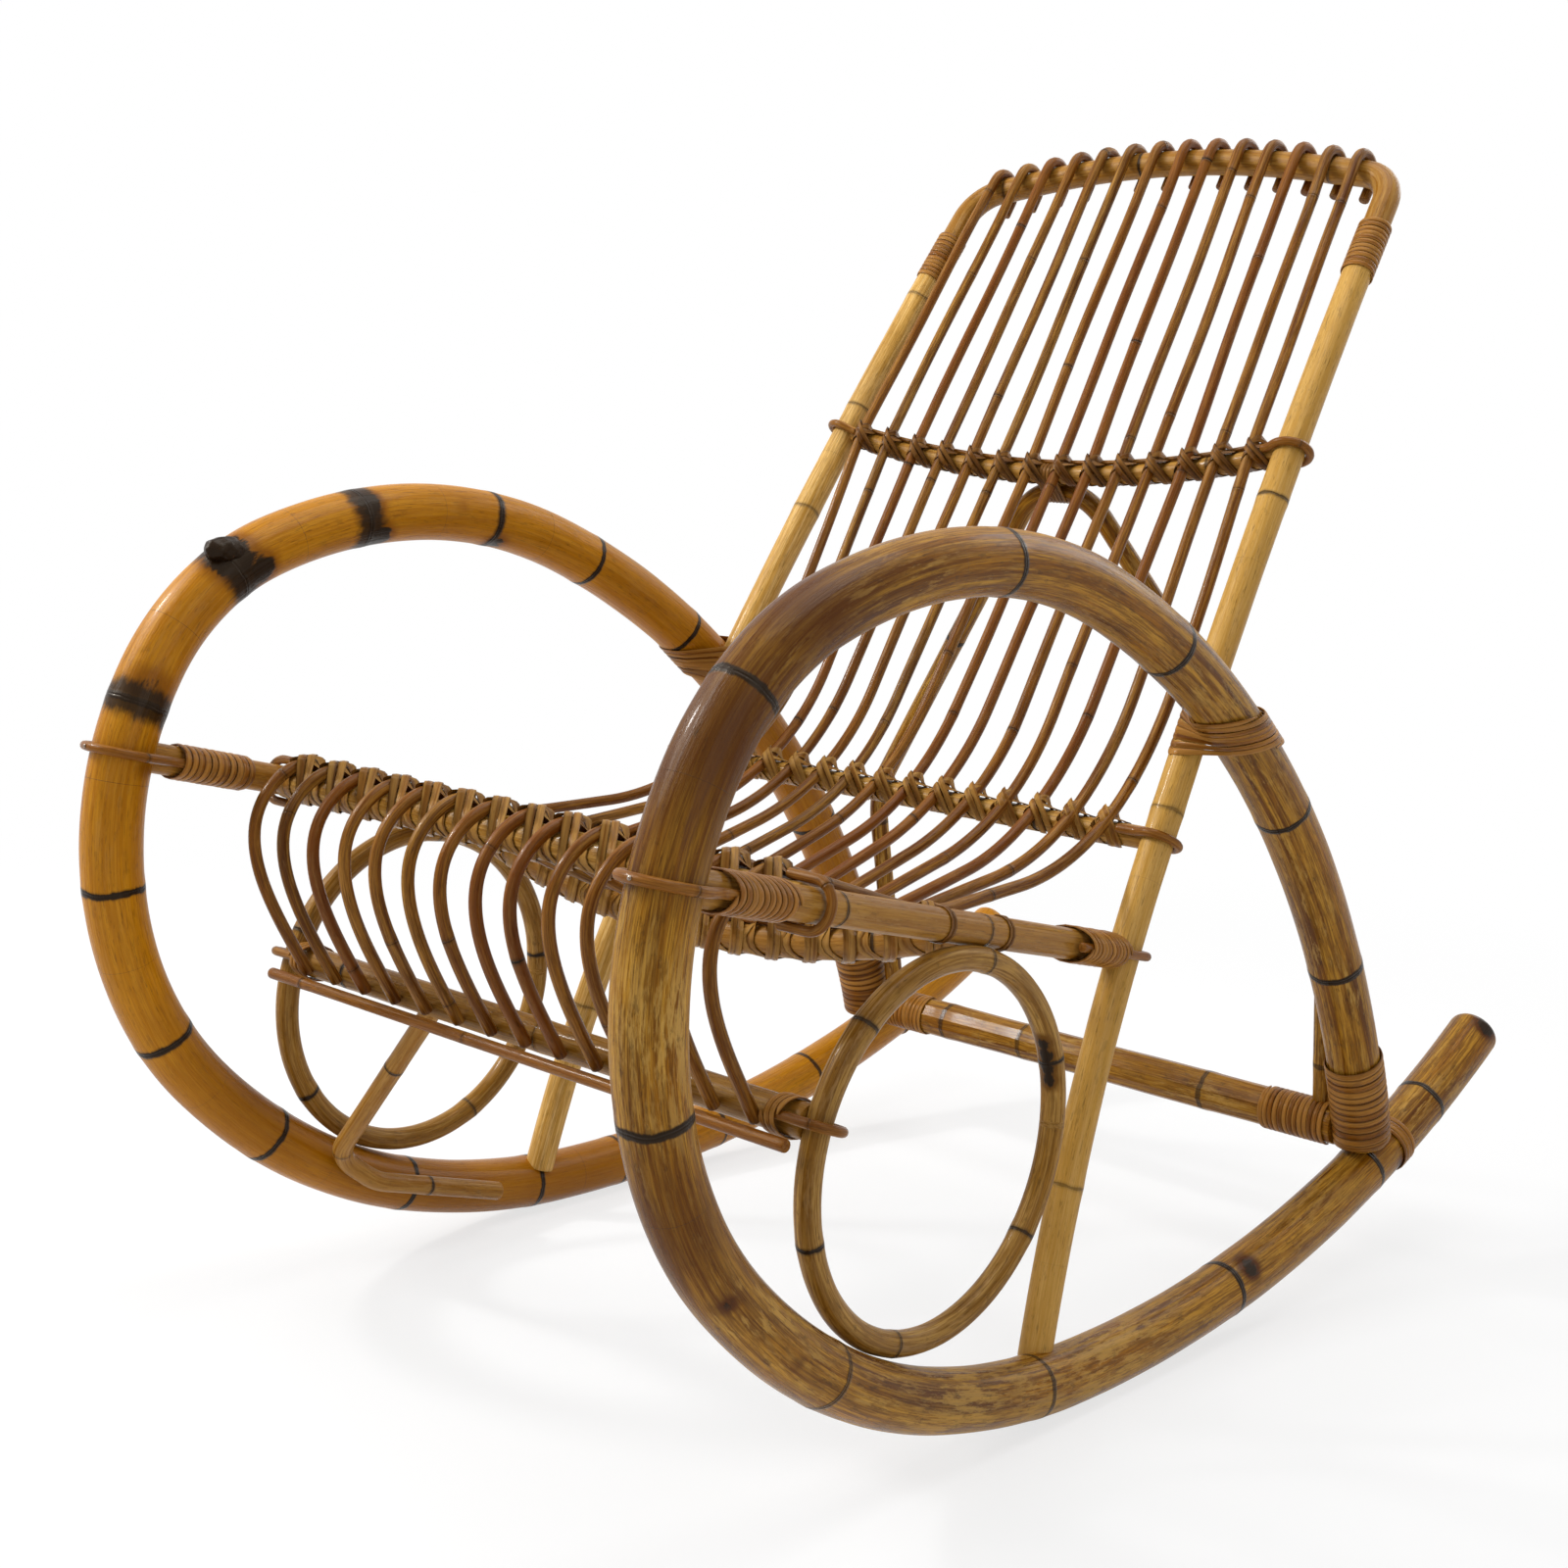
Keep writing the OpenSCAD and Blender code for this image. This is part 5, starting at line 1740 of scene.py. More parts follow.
@dataclass
class SeatFrame:
    """Side rails, cross rails, rings, stretcher and the bent brace."""

    plan: Layout
    thin_d: float = 4.0
    thin_apart: float = 12.4
    ring_parts: int = 150
    ring_sides: int = 16
    near_turns: tuple = (0.06, 0.21, 0.37, 0.55, 0.71, 0.9)
    far_turns: tuple = (0.02, 0.24, 0.43, 0.6, 0.83)
    streak_turns: tuple = (0.28, 0.36, 0.44, 0.52)

    def build(self) -> None:
        """Model the rods of the seat and the base."""
        self.side_rails()
        self.cross_rails()
        self.front_rails()
        y, z = self.plan.ring_at
        streak = [Spot((self.plan.ring_x + 4, y + 119 * math.cos(t), z + 119 * math.sin(t)), 9, 0.85)
                  for t in self.streak_turns]
        self.ring(Side.RIGHT, 0.18, self.near_turns, streak)
        self.ring(Side.LEFT, 0.62, self.far_turns, [])
        self.stretcher()
        self.brace()

    def side_rails(self) -> None:
        """Model the two side rails."""
        p = self.plan
        full = float(np.linalg.norm(p.side_b - p.side_a))
        route = np.array([p.side_a + p.side_dir * (p.pole_r - 4), p.side_b - p.side_dir * (p.post_r - 3)])
        joints = grown((140, .35, .4), (full * 0.58, .3, .4), (full * 0.83, .25, .3))
        right = Rod(route, p.side_d, joints, 0.09, sides=20, round_end=0.8).make()
        left = Bench.mirrored(right, 0.52)
        Bench.finish(right, "side_rail_cane_right", RAIL, Slot.RAIL, ["side_rail_right"])
        Bench.finish(left, "side_rail_cane_left", RAIL, Slot.RAIL, ["side_rail_left"])

    def cross_rails(self) -> None:
        """Model the front rail, and the dished rail with the thin canes on it."""
        p = self.plan
        reach = p.front_at[0] - p.side_d / 2 + 3
        rod = Rod(p.across(reach, p.front_at[1:]), p.front_d, evenly(2 * reach, 210, 3), 0.15, sides=20,
                  round_end=0.8)
        rod.piece("front_seat_rail_cane", RAIL, Slot.RAIL, "front_seat_rail")
        reach = p.dish_at[0] - p.side_d / 2 + 4
        xs = np.linspace(-reach, reach, 80)
        route = np.array([vec(x, p.dish_y, p.dish_z(x)) for x in xs])
        rod = Rod(route, p.dish_d, evenly(2 * reach, 190, 4), 0.27, sides=20, pitch=5.0, round_end=0.8)
        rod.piece("dished_rail_cane", RAIL, Slot.RAIL, "dished_seat_rail")
        for k, off in enumerate((-self.thin_apart / 2, self.thin_apart / 2)):
            lift = math.sqrt((p.dish_d / 2 + self.thin_d / 2 + 0.2) ** 2 - off * off)
            thin = np.array([vec(x, p.dish_y + off, p.dish_z(x) + lift) for x in xs[3:-3]])
            rod = Rod(thin, self.thin_d, evenly(2 * reach, 130, 20 + k, 0.25, 0.1), 0.38 + 0.4 * k, sides=8,
                      pitch=5.0, round_end=0.6)
            rod.piece("dished_rail_thin_cane_%d" % (k + 1), SPINDLE, Slot.SPINDLE)

    def front_rails(self) -> None:
        """Model the low front rail and the strip in front of the canes' ends."""
        p = self.plan
        reach = p.ring_x - p.ring_d / 2 + 2
        rod = Rod(p.across(reach, p.low_front), p.low_front_d, evenly(2 * reach, 200, 8), 0.66, sides=20,
                  round_end=0.8)
        rod.piece("low_front_rail_cane", RING, Slot.RAIL, "low_front_rail")
        out = p.low_front_d / 2 + p.cane_d + p.strip_d / 2 + 2 * p.gap
        reach = p.ring_x - 4
        rod = Rod(p.across(reach, p.low_front + unit(vec(-0.92, -0.4)) * out), p.strip_d,
                  evenly(2 * reach, 160, 14, 0.3, 0.15), 0.93, sides=12, round_end=1.2)
        rod.piece("front_strip_cane", LOOP, Slot.RAIL, "front_strip")

    def ring(self, side: Side, tone: float, turns: Sequence[float], stains_and_shade: Sequence[Spot]) -> None:
        """Model a side ring from a torus, with growth rings.

        Args:
            side: Its side of the chair.
            tone: Number that picks its shade.
            turns: Places of its growth rings, in turns.
            stains_and_shade: Its dark patches.
        """
        p = self.plan
        Bench.clear()
        bpy.ops.mesh.primitive_torus_add(major_segments=self.ring_parts, minor_segments=self.ring_sides,
                                         major_radius=p.ring_r / 1000, minor_radius=p.ring_d / 2000,
                                         rotation=(0, math.pi / 2, 0))
        obj = bpy.context.object
        bpy.ops.object.transform_apply(location=True, rotation=True, scale=True)
        co = Bench.coords(obj) * 1000
        angle = np.arctan2(co[:, 2], co[:, 1])
        rho = np.hypot(co[:, 1], co[:, 2]) - p.ring_r
        part = (angle / (2 * math.pi)) % 1.0
        scale, away, dark = np.ones(len(co)), np.full(len(co), Rod.far * 1000), np.zeros(len(co))
        for k, at in enumerate(turns):
            d = ((part - at + 0.5) % 1.0 - 0.5) * 2 * math.pi * p.ring_r
            near = np.abs(d) < np.abs(away)
            away[near] = d[near]
            dark[np.abs(d) < 40] = (0.5, 0.3, 0.4)[k % 3]
            scale += 0.045 * np.exp(-(d / 6) ** 2)
        scale += 0.015 * np.sin(angle * 3 + side.value)
        out = rho * (scale - 1)
        points = np.column_stack([co[:, 0] * scale, co[:, 1] + out * np.cos(angle),
                                  co[:, 2] + out * np.sin(angle)])
        lay = np.column_stack([part * 2 * math.pi * p.ring_r, co[:, 0], rho]) / 1000
        for name, values in (("lay", lay), ("ring_at", away / 1000), ("ring_dark", dark), ("tone", tone)):
            Bench.note(obj, name, values)
        Bench.put(obj, p.pose(points + vec(side.value * p.ring_x, *p.ring_at)))
        Rod.mark(obj, "stain", stains_and_shade)
        Rod.mark(obj, "rubbed", [])
        name = side.name.lower()
        Bench.finish(obj, "side_ring_cane_" + name, RING, Slot.RAIL, ["ring_" + name])

    def stretcher(self) -> None:
        """Model the rear stretcher, with flat faces left by the knife."""
        p = self.plan
        rod = Rod(p.across(p.half - p.pole_r + 3, p.stretcher_at), p.stretcher_d - 0.4,
                  grown((95, .3, .5), (190, .25, .4), (395, .3, .5)), 0.48, sides=11, round_end=1.0,
                  uneven=0.02, stains_and_shade=[Spot((205, p.stretcher_at[0] - 14, p.stretcher_at[1] + 10), 10, 0.9)])
        rod.piece("rear_stretcher_cane", NEAR_POLE, Slot.POLE, "rear_stretcher", angle=0.45)

    def brace(self) -> None:
        """Model the bent brace under the left of the front, from the runner to the low front rail."""
        p = self.plan
        x = p.half - p.pole_r - p.brace_d / 2 - p.gap
        points = [vec(-x, y, p.runner_z(y) + lift) for y, lift in ((-92, 4), (-225, 2), (-266, 14))]
        points.append(vec(-108, p.low_front[0] + 6, p.low_front[1] - 4))
        route = filleted(points, [0, 60, 38, 0])
        rod = Rod(route, p.brace_d, evenly(length_of(route), 120, 6), 0.77, pitch=3.5, round_end=1.2)
        rod.piece("front_brace_cane", RAIL, Slot.RAIL, "front_brace")


@dataclass
class LongCanes:
    """The long canes that run over the back and the seat."""

    plan: Layout
    play: float = 0.1
    dark_ones: tuple = (3, 8, 9, 12)
    waves: tuple = ((0.9, 520), (0.5, 230))

    def build(self) -> None:
        """Model each long cane."""
        for i in range(1, self.plan.canes + 1):
            self.cane(i)
        log.info("%d long canes", self.plan.canes)

    def cane(self, i: int) -> None:
        """Model long cane i along its own route, which wavers a little between its ends.

        Args:
            i: Number of the cane, counted from the left.
        """
        p = self.plan
        route = spread(CanePath(p, i).route(), 3.0)
        rng = random.Random(100 + i)
        s = np.linspace(0, length_of(route), len(route))
        calm = np.clip(np.minimum(s - 60, s[-1] - s - 30) / 60, 0, 1)
        waver = sum(a * np.sin(s / w * 2 * math.pi + rng.uniform(0, 6.28)) for a, w in self.waves)
        route[:, 0] += waver * calm
        dark = i in self.dark_ones
        shade = rng.uniform(0.0, 0.0 if dark else 0.055)
        tone = (0.1355 if dark else 0.015) + shade + 0.137 * (i % 6)
        joints = evenly(s[-1], 235, 50 + i, 0.3 if dark else 0.22, 0.2)
        rod = Rod(route, p.cane_d - self.play, joints, tone, sides=12, pitch=4.2, round_end=1.0, uneven=0.02)
        rod.piece("long_cane_%d" % i, SPINDLE, Slot.SPINDLE, "cane_%d" % i)


@dataclass
class Loops:
    """The bent hairpins of thin cane that hold rails to posts, hoops and rings."""

    plan: Layout
    fillet: float = 20.0
    nail_r: float = 0.0016

    def hairpin(self, at: Array, along: Array, apart: Array, host: float, guest: float,
                leg: float) -> Array:
        """Return the route of a hairpin.

        Args:
            at: Middle of what it goes round.
            along: Direction of its legs.
            apart: Direction in which the legs lie apart.
            host: Radius of what it goes round.
            guest: Radius of the rod between its legs.
            leg: Reach of the legs.

        Returns:
            The points of its middle line.
        """
        p = self.plan
        held, free = guest + p.loop_d / 2 + p.gap, host + p.loop_d / 2 + p.gap
        r = max(free, held) if free - held < 2 else free
        pinch = math.radians(24 if r - held > 3 else 14 if r - held >= 2 else 0)
        half_gap = held if pinch else r
        f = self.fillet
        bend = (r + f - (held + f) * math.cos(pinch)) / math.sin(pinch) if pinch else 0.0
        half = [(max(leg, bend + 2), half_gap)]
        if pinch:
            half += [(bend - f * math.sin(t), held + f - f * math.cos(t)) for t in np.linspace(0, pinch, 5)]
        half += [(r * math.cos(t), r * math.sin(t)) for t in np.linspace(math.pi / 2 - pinch, math.pi, 14)]
        flat = half + [(u, -v) for u, v in reversed(half[:-1])]
        ex = unit(along)
        ey = unit(apart - ex * float(apart @ ex))
        return np.array([at + ex * u + ey * v for u, v in flat])

    def build(self) -> None:
        """Model the hairpins of the right side and copy them to the left."""
        p = self.plan
        x = vec(1, 0, 0)
        tilt = p.slope(p.mid_at[0], p.mid_at[0], p.mid_sag)
        side_up = unit(vec(0, -p.side_dir[2], p.side_dir[1]))
        courses = {
            "hoop_loops": (p.side_a, p.side_dir, x, p.pole_r + 0.2, p.side_d / 2, 102),
            "side_post_loops": (p.side_b, -p.side_dir, x, p.post_r + 0.9, p.side_d / 2, 92),
            "mid_post_loops": (p.mid_at, vec(-math.cos(tilt), 0, 0) + p.mid_down * math.sin(tilt),
                               np.cross(p.post_dir(p.mid_h), x), p.post_r, p.mid_d / 2, 18),
            "low_post_loops": (p.low_at, -x, np.cross(p.post_dir(p.low_h), x), p.post_r, p.low_d / 2, 30),
            "front_rail_loops": (p.front_at, -x, side_up, p.side_d / 2, p.front_d / 2, 23),
            "ring_loops": (vec(p.ring_x, *p.low_front), -x, vec(0, *p.ring_out), p.ring_d / 2,
                           p.low_front_d / 2, 26)}
        for k, (node, course) in enumerate(courses.items()):
            route = self.hairpin(*course)
            rod = Rod(route, p.loop_d, evenly(length_of(route), 70, 60 + k, 0.25, 0.08), 0.11 + 0.13 * k,
                      sides=12, pitch=2.6, round_end=0.9, uneven=0.02)
            right = rod.make()
            both = Bench.joined([right, Bench.mirrored(right, 0.93 - 0.12 * k)])
            Bench.finish(both, node.replace("loops", "hairpins"), LOOP, Slot.RAIL, [node])

    def nails(self) -> None:
        """Model the small nail heads that hold the hairpins."""
        p = self.plan
        over_pole, over_post = p.pole_r + p.loop_d + 0.7, p.post_r + 8.6
        places = ((p.side_a - p.side_dir * over_pole, -p.side_dir),
                  (p.side_b + p.side_dir * over_post, p.side_dir))
        heads = []
        for at, out in places:
            for flip in (np.ones(3), FLIP):
                Bench.clear()
                bpy.ops.mesh.primitive_uv_sphere_add(segments=12, ring_count=8, radius=self.nail_r)
                obj = bpy.context.object
                bpy.ops.object.mode_set(mode="EDIT")
                bpy.ops.mesh.select_all(action="SELECT")
                bpy.ops.transform.resize(value=(1, 1, 0.45))
                bpy.ops.object.mode_set(mode="OBJECT")
                z = p.turn(unit(out) * flip)
                x = unit(np.cross(z, vec(0, 0, 1)))
                frame = np.column_stack([x, np.cross(z, x), z])
                Bench.put(obj, Bench.coords(obj) @ frame.T + p.pose(at * flip)[0])
                heads.append(obj)
        Bench.finish(Bench.joined(heads), "nail_heads", NAIL, Slot.RAIL, [])


@dataclass(frozen=True)
class Tie:
    """The knots that hold the long canes on one rail.

    sagging is half the rail's span and its sag, and extra widens the knots' strips.
    """

    spot: Pass
    node: str
    rail_d: float
    extra: float
    finish: Finish
    slot: Slot
    sagging: Optional[tuple[float, float]] = None


@dataclass
class Bindings:
    """Windings and knots of cane peel."""

    plan: Layout
    knot_w: float = 3.5
    band_w: float = 3.2
    arch_places: tuple = (-9.6, -5.8, -2.0, 2.0, 5.8, 9.6)
    rng: random.Random = field(default_factory=lambda: random.Random(7))

    def build(self) -> None:
        """Model all windings and knots."""
        p = self.plan
        self.rail_windings()
        self.pole_windings()
        self.arm_lashings()
        self.ring_bands()
        for tie in (Tie(Pass.MIDDLE, "mid_lashings", p.mid_d, 0.6, DARK_PEEL, Slot.DARK_PEEL,
                        (p.mid_at[0], p.mid_sag)),
                    Tie(Pass.LOW, "low_lashings", p.low_d, 1.1, TAN_KNOT, Slot.DARK_PEEL),
                    Tie(Pass.DISHED, "dished_lashings", p.dish_d, 0.9, TAN_KNOT, Slot.DARK_PEEL,
                        (p.dish_at[0], p.dish_sag)),
                    Tie(Pass.FRONT, "front_lashings", p.front_d, 2.2, TAN_KNOT, Slot.PEEL)):
            self.knots(tie)
        self.arch_lashing()

    def pair(self, made: Sequence[bpy.types.Object], name: str, finish: Finish, slot: Slot,
             node: str) -> None:
        """Copy a right-hand binding to the left and finish both as one piece.

        Args:
            made: Parts of the right-hand binding.
            name: Name of the piece.
            finish: Its finish.
            slot: Its slot in the record.
            node: CAD node that it stands for.
        """
        right = Bench.joined(list(made))
        left = Bench.mirrored(right, self.rng.random())
        Bench.finish(Bench.joined([right, left]), name, finish, slot, [node], 0.9)

    def wind(self, name: str, form: Wrapped, turns: float, pitch: float, width: float, tone: float,
             finish: Finish = PEEL, **values: float) -> None:
        """Wind a strip round a form on both sides, with the values that Strips.winding takes."""
        strip = Strips.winding(form, turns, pitch, width, tone, **values)
        self.pair([strip], name + "_strips", finish, Slot.PEEL, name + "_windings")

    def legged(self, rod: float, host: float) -> list[tuple[float, float, float, float, float]]:
        """Return the section of a rod with a hairpin's legs beside it.

        Args:
            rod: Radius of the rod.
            host: Radius of what the hairpin goes round.

        Returns:
            The section.
        """
        r = self.plan.loop_d / 2
        held, free = rod + r + self.plan.gap, host + r + self.plan.gap
        off = max(free, held) if free - held < 2 else held
        return [(0, 0, off + r + 0.1, rod + 0.7, 0)]

    def rail_windings(self) -> None:
        """Wind the ends of the side rails, the low front rail, the top rail and the stretcher."""
        p = self.plan
        x = vec(1, 0, 0)
        form = Wrapped(self.legged(p.side_d / 2, p.pole_r + 0.2), p.side_a + p.side_dir * 71, p.side_dir, x)
        self.wind("side_front", form, 11, 5.5, 5.1, 0.21, RED_PEEL)
        form = Wrapped(self.legged(p.side_d / 2, p.post_r + 0.9), p.side_b - p.side_dir * 55, p.side_dir, x)
        self.wind("side_back", form, 11, 5.2, 4.8, 0.42, RED_PEEL)
        section = self.legged(p.low_front_d / 2, p.ring_d / 2)
        form = Wrapped(section, vec(p.ring_x - 24.9, *p.low_front), x, vec(0, *p.ring_out))
        self.wind("low_front", form, 3, 4.6, 4.3, 0.63)
        form = Wrapped([(0, 0, p.post_r, p.post_r, 0)], p.top_start, p.top_go, x)
        self.wind("corner", form, 11.5, 4.6, 4.3, 0.84, thick=1.4)
        r = p.stretcher_d / 2
        form = Wrapped([(0, 0, r, r, 0)], vec(p.half - p.pole_r - 35, *p.stretcher_at), x, vec(0, 0, 1))
        self.wind("stretcher", form, 12.5, 4.9, 4.6, 0.33)

    def spine(self, line: Sequence[State]) -> Callable[[Array], tuple[Array, Array]]:
        """Return a function that gives the middle and the outward direction along a bent pole.

        Args:
            line: States of the pole, the middle one at Z = 0.

        Returns:
            The function of the place along the pole.
        """
        yz = np.array([[s[0], s[1]] for s in line])
        s = np.concatenate([[0.0], np.cumsum(np.linalg.norm(np.diff(yz, axis=0), axis=1))])
        s -= s[-1] / 2
        heads = np.radians([q[2] for q in line])

        def at(z: Array) -> tuple[Array, Array]:
            """Return the middle and the outward direction at each place.

            Args:
                z: The places.

            Returns:
                The middles and the directions.
            """
            middle = np.column_stack([np.full(len(z), self.plan.half), np.interp(z, s, yz[:, 0]),
                                      np.interp(z, s, yz[:, 1])])
            h = np.interp(z, s, heads)
            return middle, np.column_stack([np.zeros(len(z)), -np.sin(h), np.cos(h)])
        return at

    def on_pole(self, line: Sequence[State], mid: State, out: float, aside: float) -> Wrapped:
        """Return the form of a bent pole.

        Args:
            line: States of the pole.
            mid: The state at Z = 0.
            out: What the form adds to the pole's radius in the plane of its bend.
            aside: What it adds across.

        Returns:
            The form.
        """
        p = self.plan
        h = math.radians(mid[2])
        form = Wrapped([(0, 0, p.pole_r + out, p.pole_r + aside, 0)], vec(p.half, mid[0], mid[1]),
                       vec(0, math.cos(h), math.sin(h)), vec(0, 0, 1), self.spine(line))
        form.ey = vec(1, 0, 0)
        return form

    def pole_windings(self) -> None:
        """Wind the rear end of each hoop and the runner behind it."""
        p = self.plan
        line = p.hoop_line[::-1]
        run = np.cumsum([0.0] + [math.dist(a[:2], b[:2]) for a, b in zip(line, line[1:])])
        line = [q for q, d in zip(line, run) if d < 95][::-1]
        form = self.on_pole(line, line[len(line) // 2], 1.2, 0.4)
        self.wind("hoop_end", form, 13, 6.4, 6.2, 0.13, per_turn=30)
        y = p.hoop_end[0] + 47
        lead = math.sin(math.radians(p.tail_lead))
        turn = math.degrees(math.asin(lead + (y - p.tail_start[0]) / p.tail_r)) - p.tail_lead
        begin = step_on(p.tail_start, turn - math.degrees(40 / p.tail_r), p.tail_r)
        line = chain(begin, ((math.degrees(80 / p.tail_r), p.tail_r),), 3.0)
        form = self.on_pole(line, step_on(p.tail_start, turn, p.tail_r), 0.1, 0.0)
        self.wind("tail", form, 4, 4.7, 4.4, 0.74, per_turn=30)

    def arm_lashings(self) -> None:
        """Lash post and hoop together where they cross."""
        p = self.plan
        arm = p.at_height([s for s in p.hoop_line if s[0] > 60], p.cross_z)
        h = math.radians(arm[2])
        post = (p.post_at(p.cross_z), p.post_dir(p.cross_z), p.post_r - 0.3)
        pole = (vec(p.half, arm[0], p.cross_z), vec(0, math.cos(h), math.sin(h)), p.pole_r + 1.8)
        strip = Strips.winding(Strips.crossing(post, pole, -1), 7, 4.5, 4.3, 0.29, 1.4, 0.1, 36)
        self.pair([strip], "arm_strips", PEEL, Slot.PEEL, "arm_lashings")

    def ring_bands(self) -> None:
        """Tie each ring to its side rail with two pairs of closed bands."""
        p = self.plan
        r = p.side_d / 2
        made = []
        for y in (min(p.ring_top_y, p.dish_y) - 34, max(p.ring_top_y, p.dish_y) + 34):
            form = Wrapped([(0, 0, r, r, 0)], p.side_at(y), p.side_dir, vec(1, 0, 0))
            made += [Strips.knot(form, z, self.band_w, 1.4, self.rng.random(), 0.1) for z in (-1.9, 1.9)]
        self.pair(made, "ring_band_strips", DARK_PEEL, Slot.DARK_PEEL, "dished_rail_bands")

    def knots(self, tie: Tie) -> None:
        """Tie every long cane to the rail that it passes, on both diagonals.

        Args:
            tie: The rail and what its knots are like.
        """
        p = self.plan
        made = []
        wide = self.knot_w + tie.extra
        down = p.mid_down if tie.spot is Pass.MIDDLE else vec(0, 0, -1)
        for i in range(1, p.canes + 1):
            path = CanePath(p, i)
            x = path.xs[tie.spot]
            t = p.slope(x, *tie.sagging) if tie.sagging else 0.0
            rail = (vec(x, *path.at[tie.spot]), vec(math.cos(t), 0, 0) - down * math.sin(t), tie.rail_d / 2)
            for way, lift in ((1, 0.35), (-1, 1.35)):
                form = Strips.crossing(rail, path.crossing(tie.spot), way)
                for z in (-1, 1):
                    shift = z * wide * 0.53 + self.rng.uniform(-0.4, 0.4)
                    made.append(Strips.knot(form, shift, wide, 1.2, self.rng.random(), lift))
        name = tie.node.replace("lashings", "knots")
        Bench.finish(Bench.joined(made), name, tie.finish, tie.slot, [tie.node], 1.1)

    def arch_lashing(self) -> None:
        """Tie the arch to the middle rail."""
        p = self.plan
        rail_r, arch_r = p.mid_d / 2, p.arch_d / 2 + 0.3
        sections = [(rail_r + p.arch_d / 2 + p.arch_set, 0, arch_r, arch_r, 0), (0, 0, rail_r, rail_r, 0)]
        made = []
        for x in self.arch_places:
            form = Wrapped(sections, vec(x, *p.mid_yz(x)), vec(1, 0, 0), vec(0, *p.arch_out))
            made.append(Strips.knot(form, 0, self.knot_w, 1.3, self.rng.random(), 0.3))
        Bench.finish(Bench.joined(made), "arch_knot", DARK_PEEL, Slot.DARK_PEEL, ["arch_lashing"], 1.1)


# --- studio

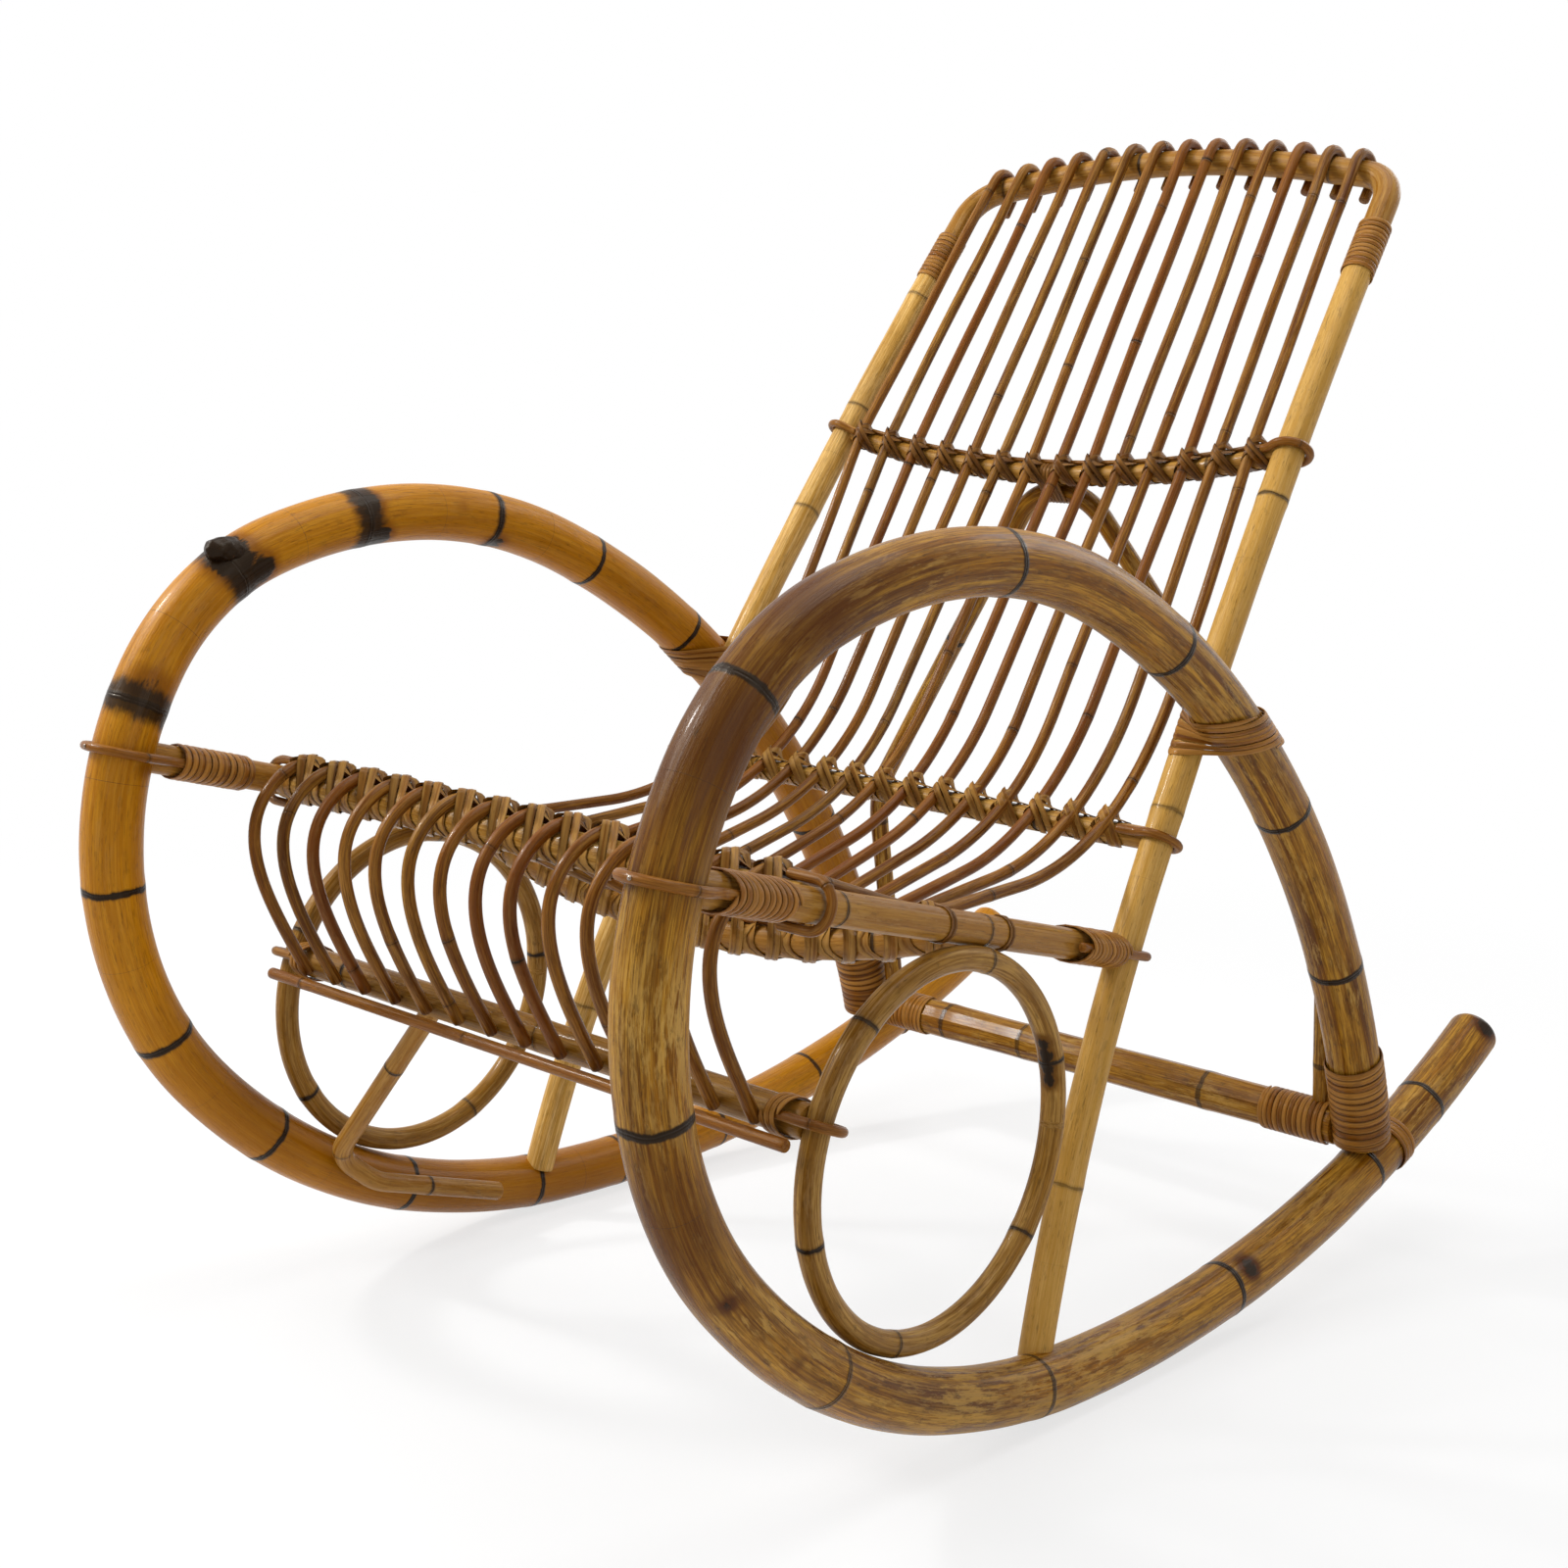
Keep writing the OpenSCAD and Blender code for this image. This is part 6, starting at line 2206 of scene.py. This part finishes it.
@dataclass
class Studio:
    """Pale floor, soft lamps and the camera of the photograph."""

    plan: Layout
    camera_at: tuple = (1132.0, -1314.0, 622.0)
    right: tuple = (0.73675486, 0.67111996, 0.08240317)
    down: tuple = (0.13887952, -0.03092642, -0.98982627)
    forward: tuple = (-0.66174373, 0.74070342, -0.11599001)
    lens: float = 50.04
    air: float = 0.28
    lamps: tuple = (
        ("key_lamp", (-1.9, -2.0, 2.6), 2.2, 76.0), ("glint_lamp", (-2.2, -1.5, 2.4), 0.35, 44.0),
        ("top_lamp", (0.3, 0.2, 3.1), 2.2, 42.0), ("fill_lamp", (2.7, -0.9, 1.6), 2.2, 14.0),
        ("back_lamp", (0.4, 2.8, 2.2), 2.0, 26.0))

    def build(self) -> None:
        """Set up floor, world, lamps and camera."""
        self.floor()
        self.world()
        for lamp in self.lamps:
            self.lamp(*lamp)
        self.camera()

    def background(self, n: Nodes) -> Socket:
        """Return 1 for rays that shall see the white background."""
        rays = n.add("ShaderNodeLightPath").outputs
        return n.most(rays["Is Camera Ray"], rays["Is Glossy Ray"], rays["Is Transmission Ray"])

    def floor(self) -> None:
        """Make the pale floor, which keeps the shadow and turns white far away."""
        Bench.clear()
        bpy.ops.mesh.primitive_grid_add(x_subdivisions=4, y_subdivisions=4, size=60, location=(0, 0, -0.0008))
        obj = bpy.context.object
        bpy.ops.object.transform_apply(location=True)
        obj.name = "studio_floor"
        mat = bpy.data.materials.new("Studio floor")
        n = Nodes.emptied(mat)
        paper = n.add("ShaderNodeBsdfPrincipled", in_Base_Color=(0.82, 0.82, 0.82), in_Roughness=0.9)
        glow = n.add("ShaderNodeEmission", in_Color=(1.0, 1.0, 1.0), in_Strength=1.0)
        place = n.add("ShaderNodeTexCoord").outputs["Object"]
        far = n.add("ShaderNodeVectorMath", operation="LENGTH", in_0=place).outputs["Value"]
        share = n.times(self.background(n), n.fade(far, 0.9, 2.2, 0.72, 1.0))
        both = n.add("ShaderNodeMixShader", in_0=share, in_1=paper.outputs[0], in_2=glow.outputs[0])
        n.add("ShaderNodeOutputMaterial", in_0=both.outputs[0])
        obj.data.materials.append(mat)

    def world(self) -> None:
        """Make the white surroundings, dimmer as light than as background."""
        world = bpy.data.worlds.new("Studio air")
        bpy.context.scene.world = world
        n = Nodes.emptied(world)
        strength = n.maths("MULTIPLY_ADD", self.background(n), 1.0 - self.air, self.air)
        sky = n.add("ShaderNodeBackground", in_Color=(1.0, 1.0, 1.0), in_Strength=strength)
        n.add("ShaderNodeOutputWorld", in_0=sky.outputs[0])

    @staticmethod
    def stand(name: str, data: bpy.types.ID, at: Array, x: Array, y: Array,
              z: Array) -> bpy.types.Object:
        """Return a new object for a lamp or a camera, with its place and its three axes.

        Args:
            name: Its name.
            data: Its lamp or camera.
            at: Its place.
            x: Its X axis.
            y: Its Y axis.
            z: Its Z axis.

        Returns:
            The object.
        """
        obj = bpy.data.objects.new(name, data)
        bpy.context.collection.objects.link(obj)
        obj.matrix_world = Matrix([(x[k], y[k], z[k], at[k]) for k in range(3)] + [(0, 0, 0, 1)])
        return obj

    def lamp(self, name: str, at: tuple[float, float, float], size: float, power: float) -> None:
        """Hang a soft lamp that looks at the chair.

        Args:
            name: Its name.
            at: Its place.
            size: Its diameter.
            power: Its power.
        """
        data = bpy.data.lights.new(name, "AREA")
        data.shape = "DISK"
        data.size = size
        data.energy = power
        z = unit(np.array(at) - vec(0, 0, 0.45))
        x = unit(np.cross(vec(0, 0, 1), z))
        self.stand(name, data, np.array(at), x, np.cross(z, x), z)

    def camera(self) -> None:
        """Stand the camera where the photograph was taken."""
        data = bpy.data.cameras.new("camera")
        data.sensor_fit = "HORIZONTAL"
        data.sensor_width = 36.0
        data.lens = self.lens
        data.clip_end = 200.0
        x, down, forward = (self.plan.turn(np.array(v)) for v in (self.right, self.down, self.forward))
        at = self.plan.pose(np.array(self.camera_at))[0]
        bpy.context.scene.camera = self.stand("camera", data, at, x, -down, -forward)


def corners(bounds: Sequence) -> list[list[float]]:
    """Return a box as plain lists."""
    return [[float(v) for v in corner] for corner in bounds]


def main() -> None:
    """Load the frame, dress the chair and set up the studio."""
    logging.basicConfig(level=logging.INFO, format="%(message)s")
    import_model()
    plan = Bench.plan
    loops = Loops(plan)
    for part in (Hoops(plan), BackFrame(plan), SeatFrame(plan), LongCanes(plan), loops, Bindings(plan)):
        before = len(Bench.pieces)
        part.build()
        log.info("%s: %s", type(part).__name__, ", ".join(Bench.pieces[before:]))
    loops.nails()
    Studio(plan).build()
    bpy.context.scene.view_settings.view_transform = "Standard"


if __name__ == "__main__":
    main()
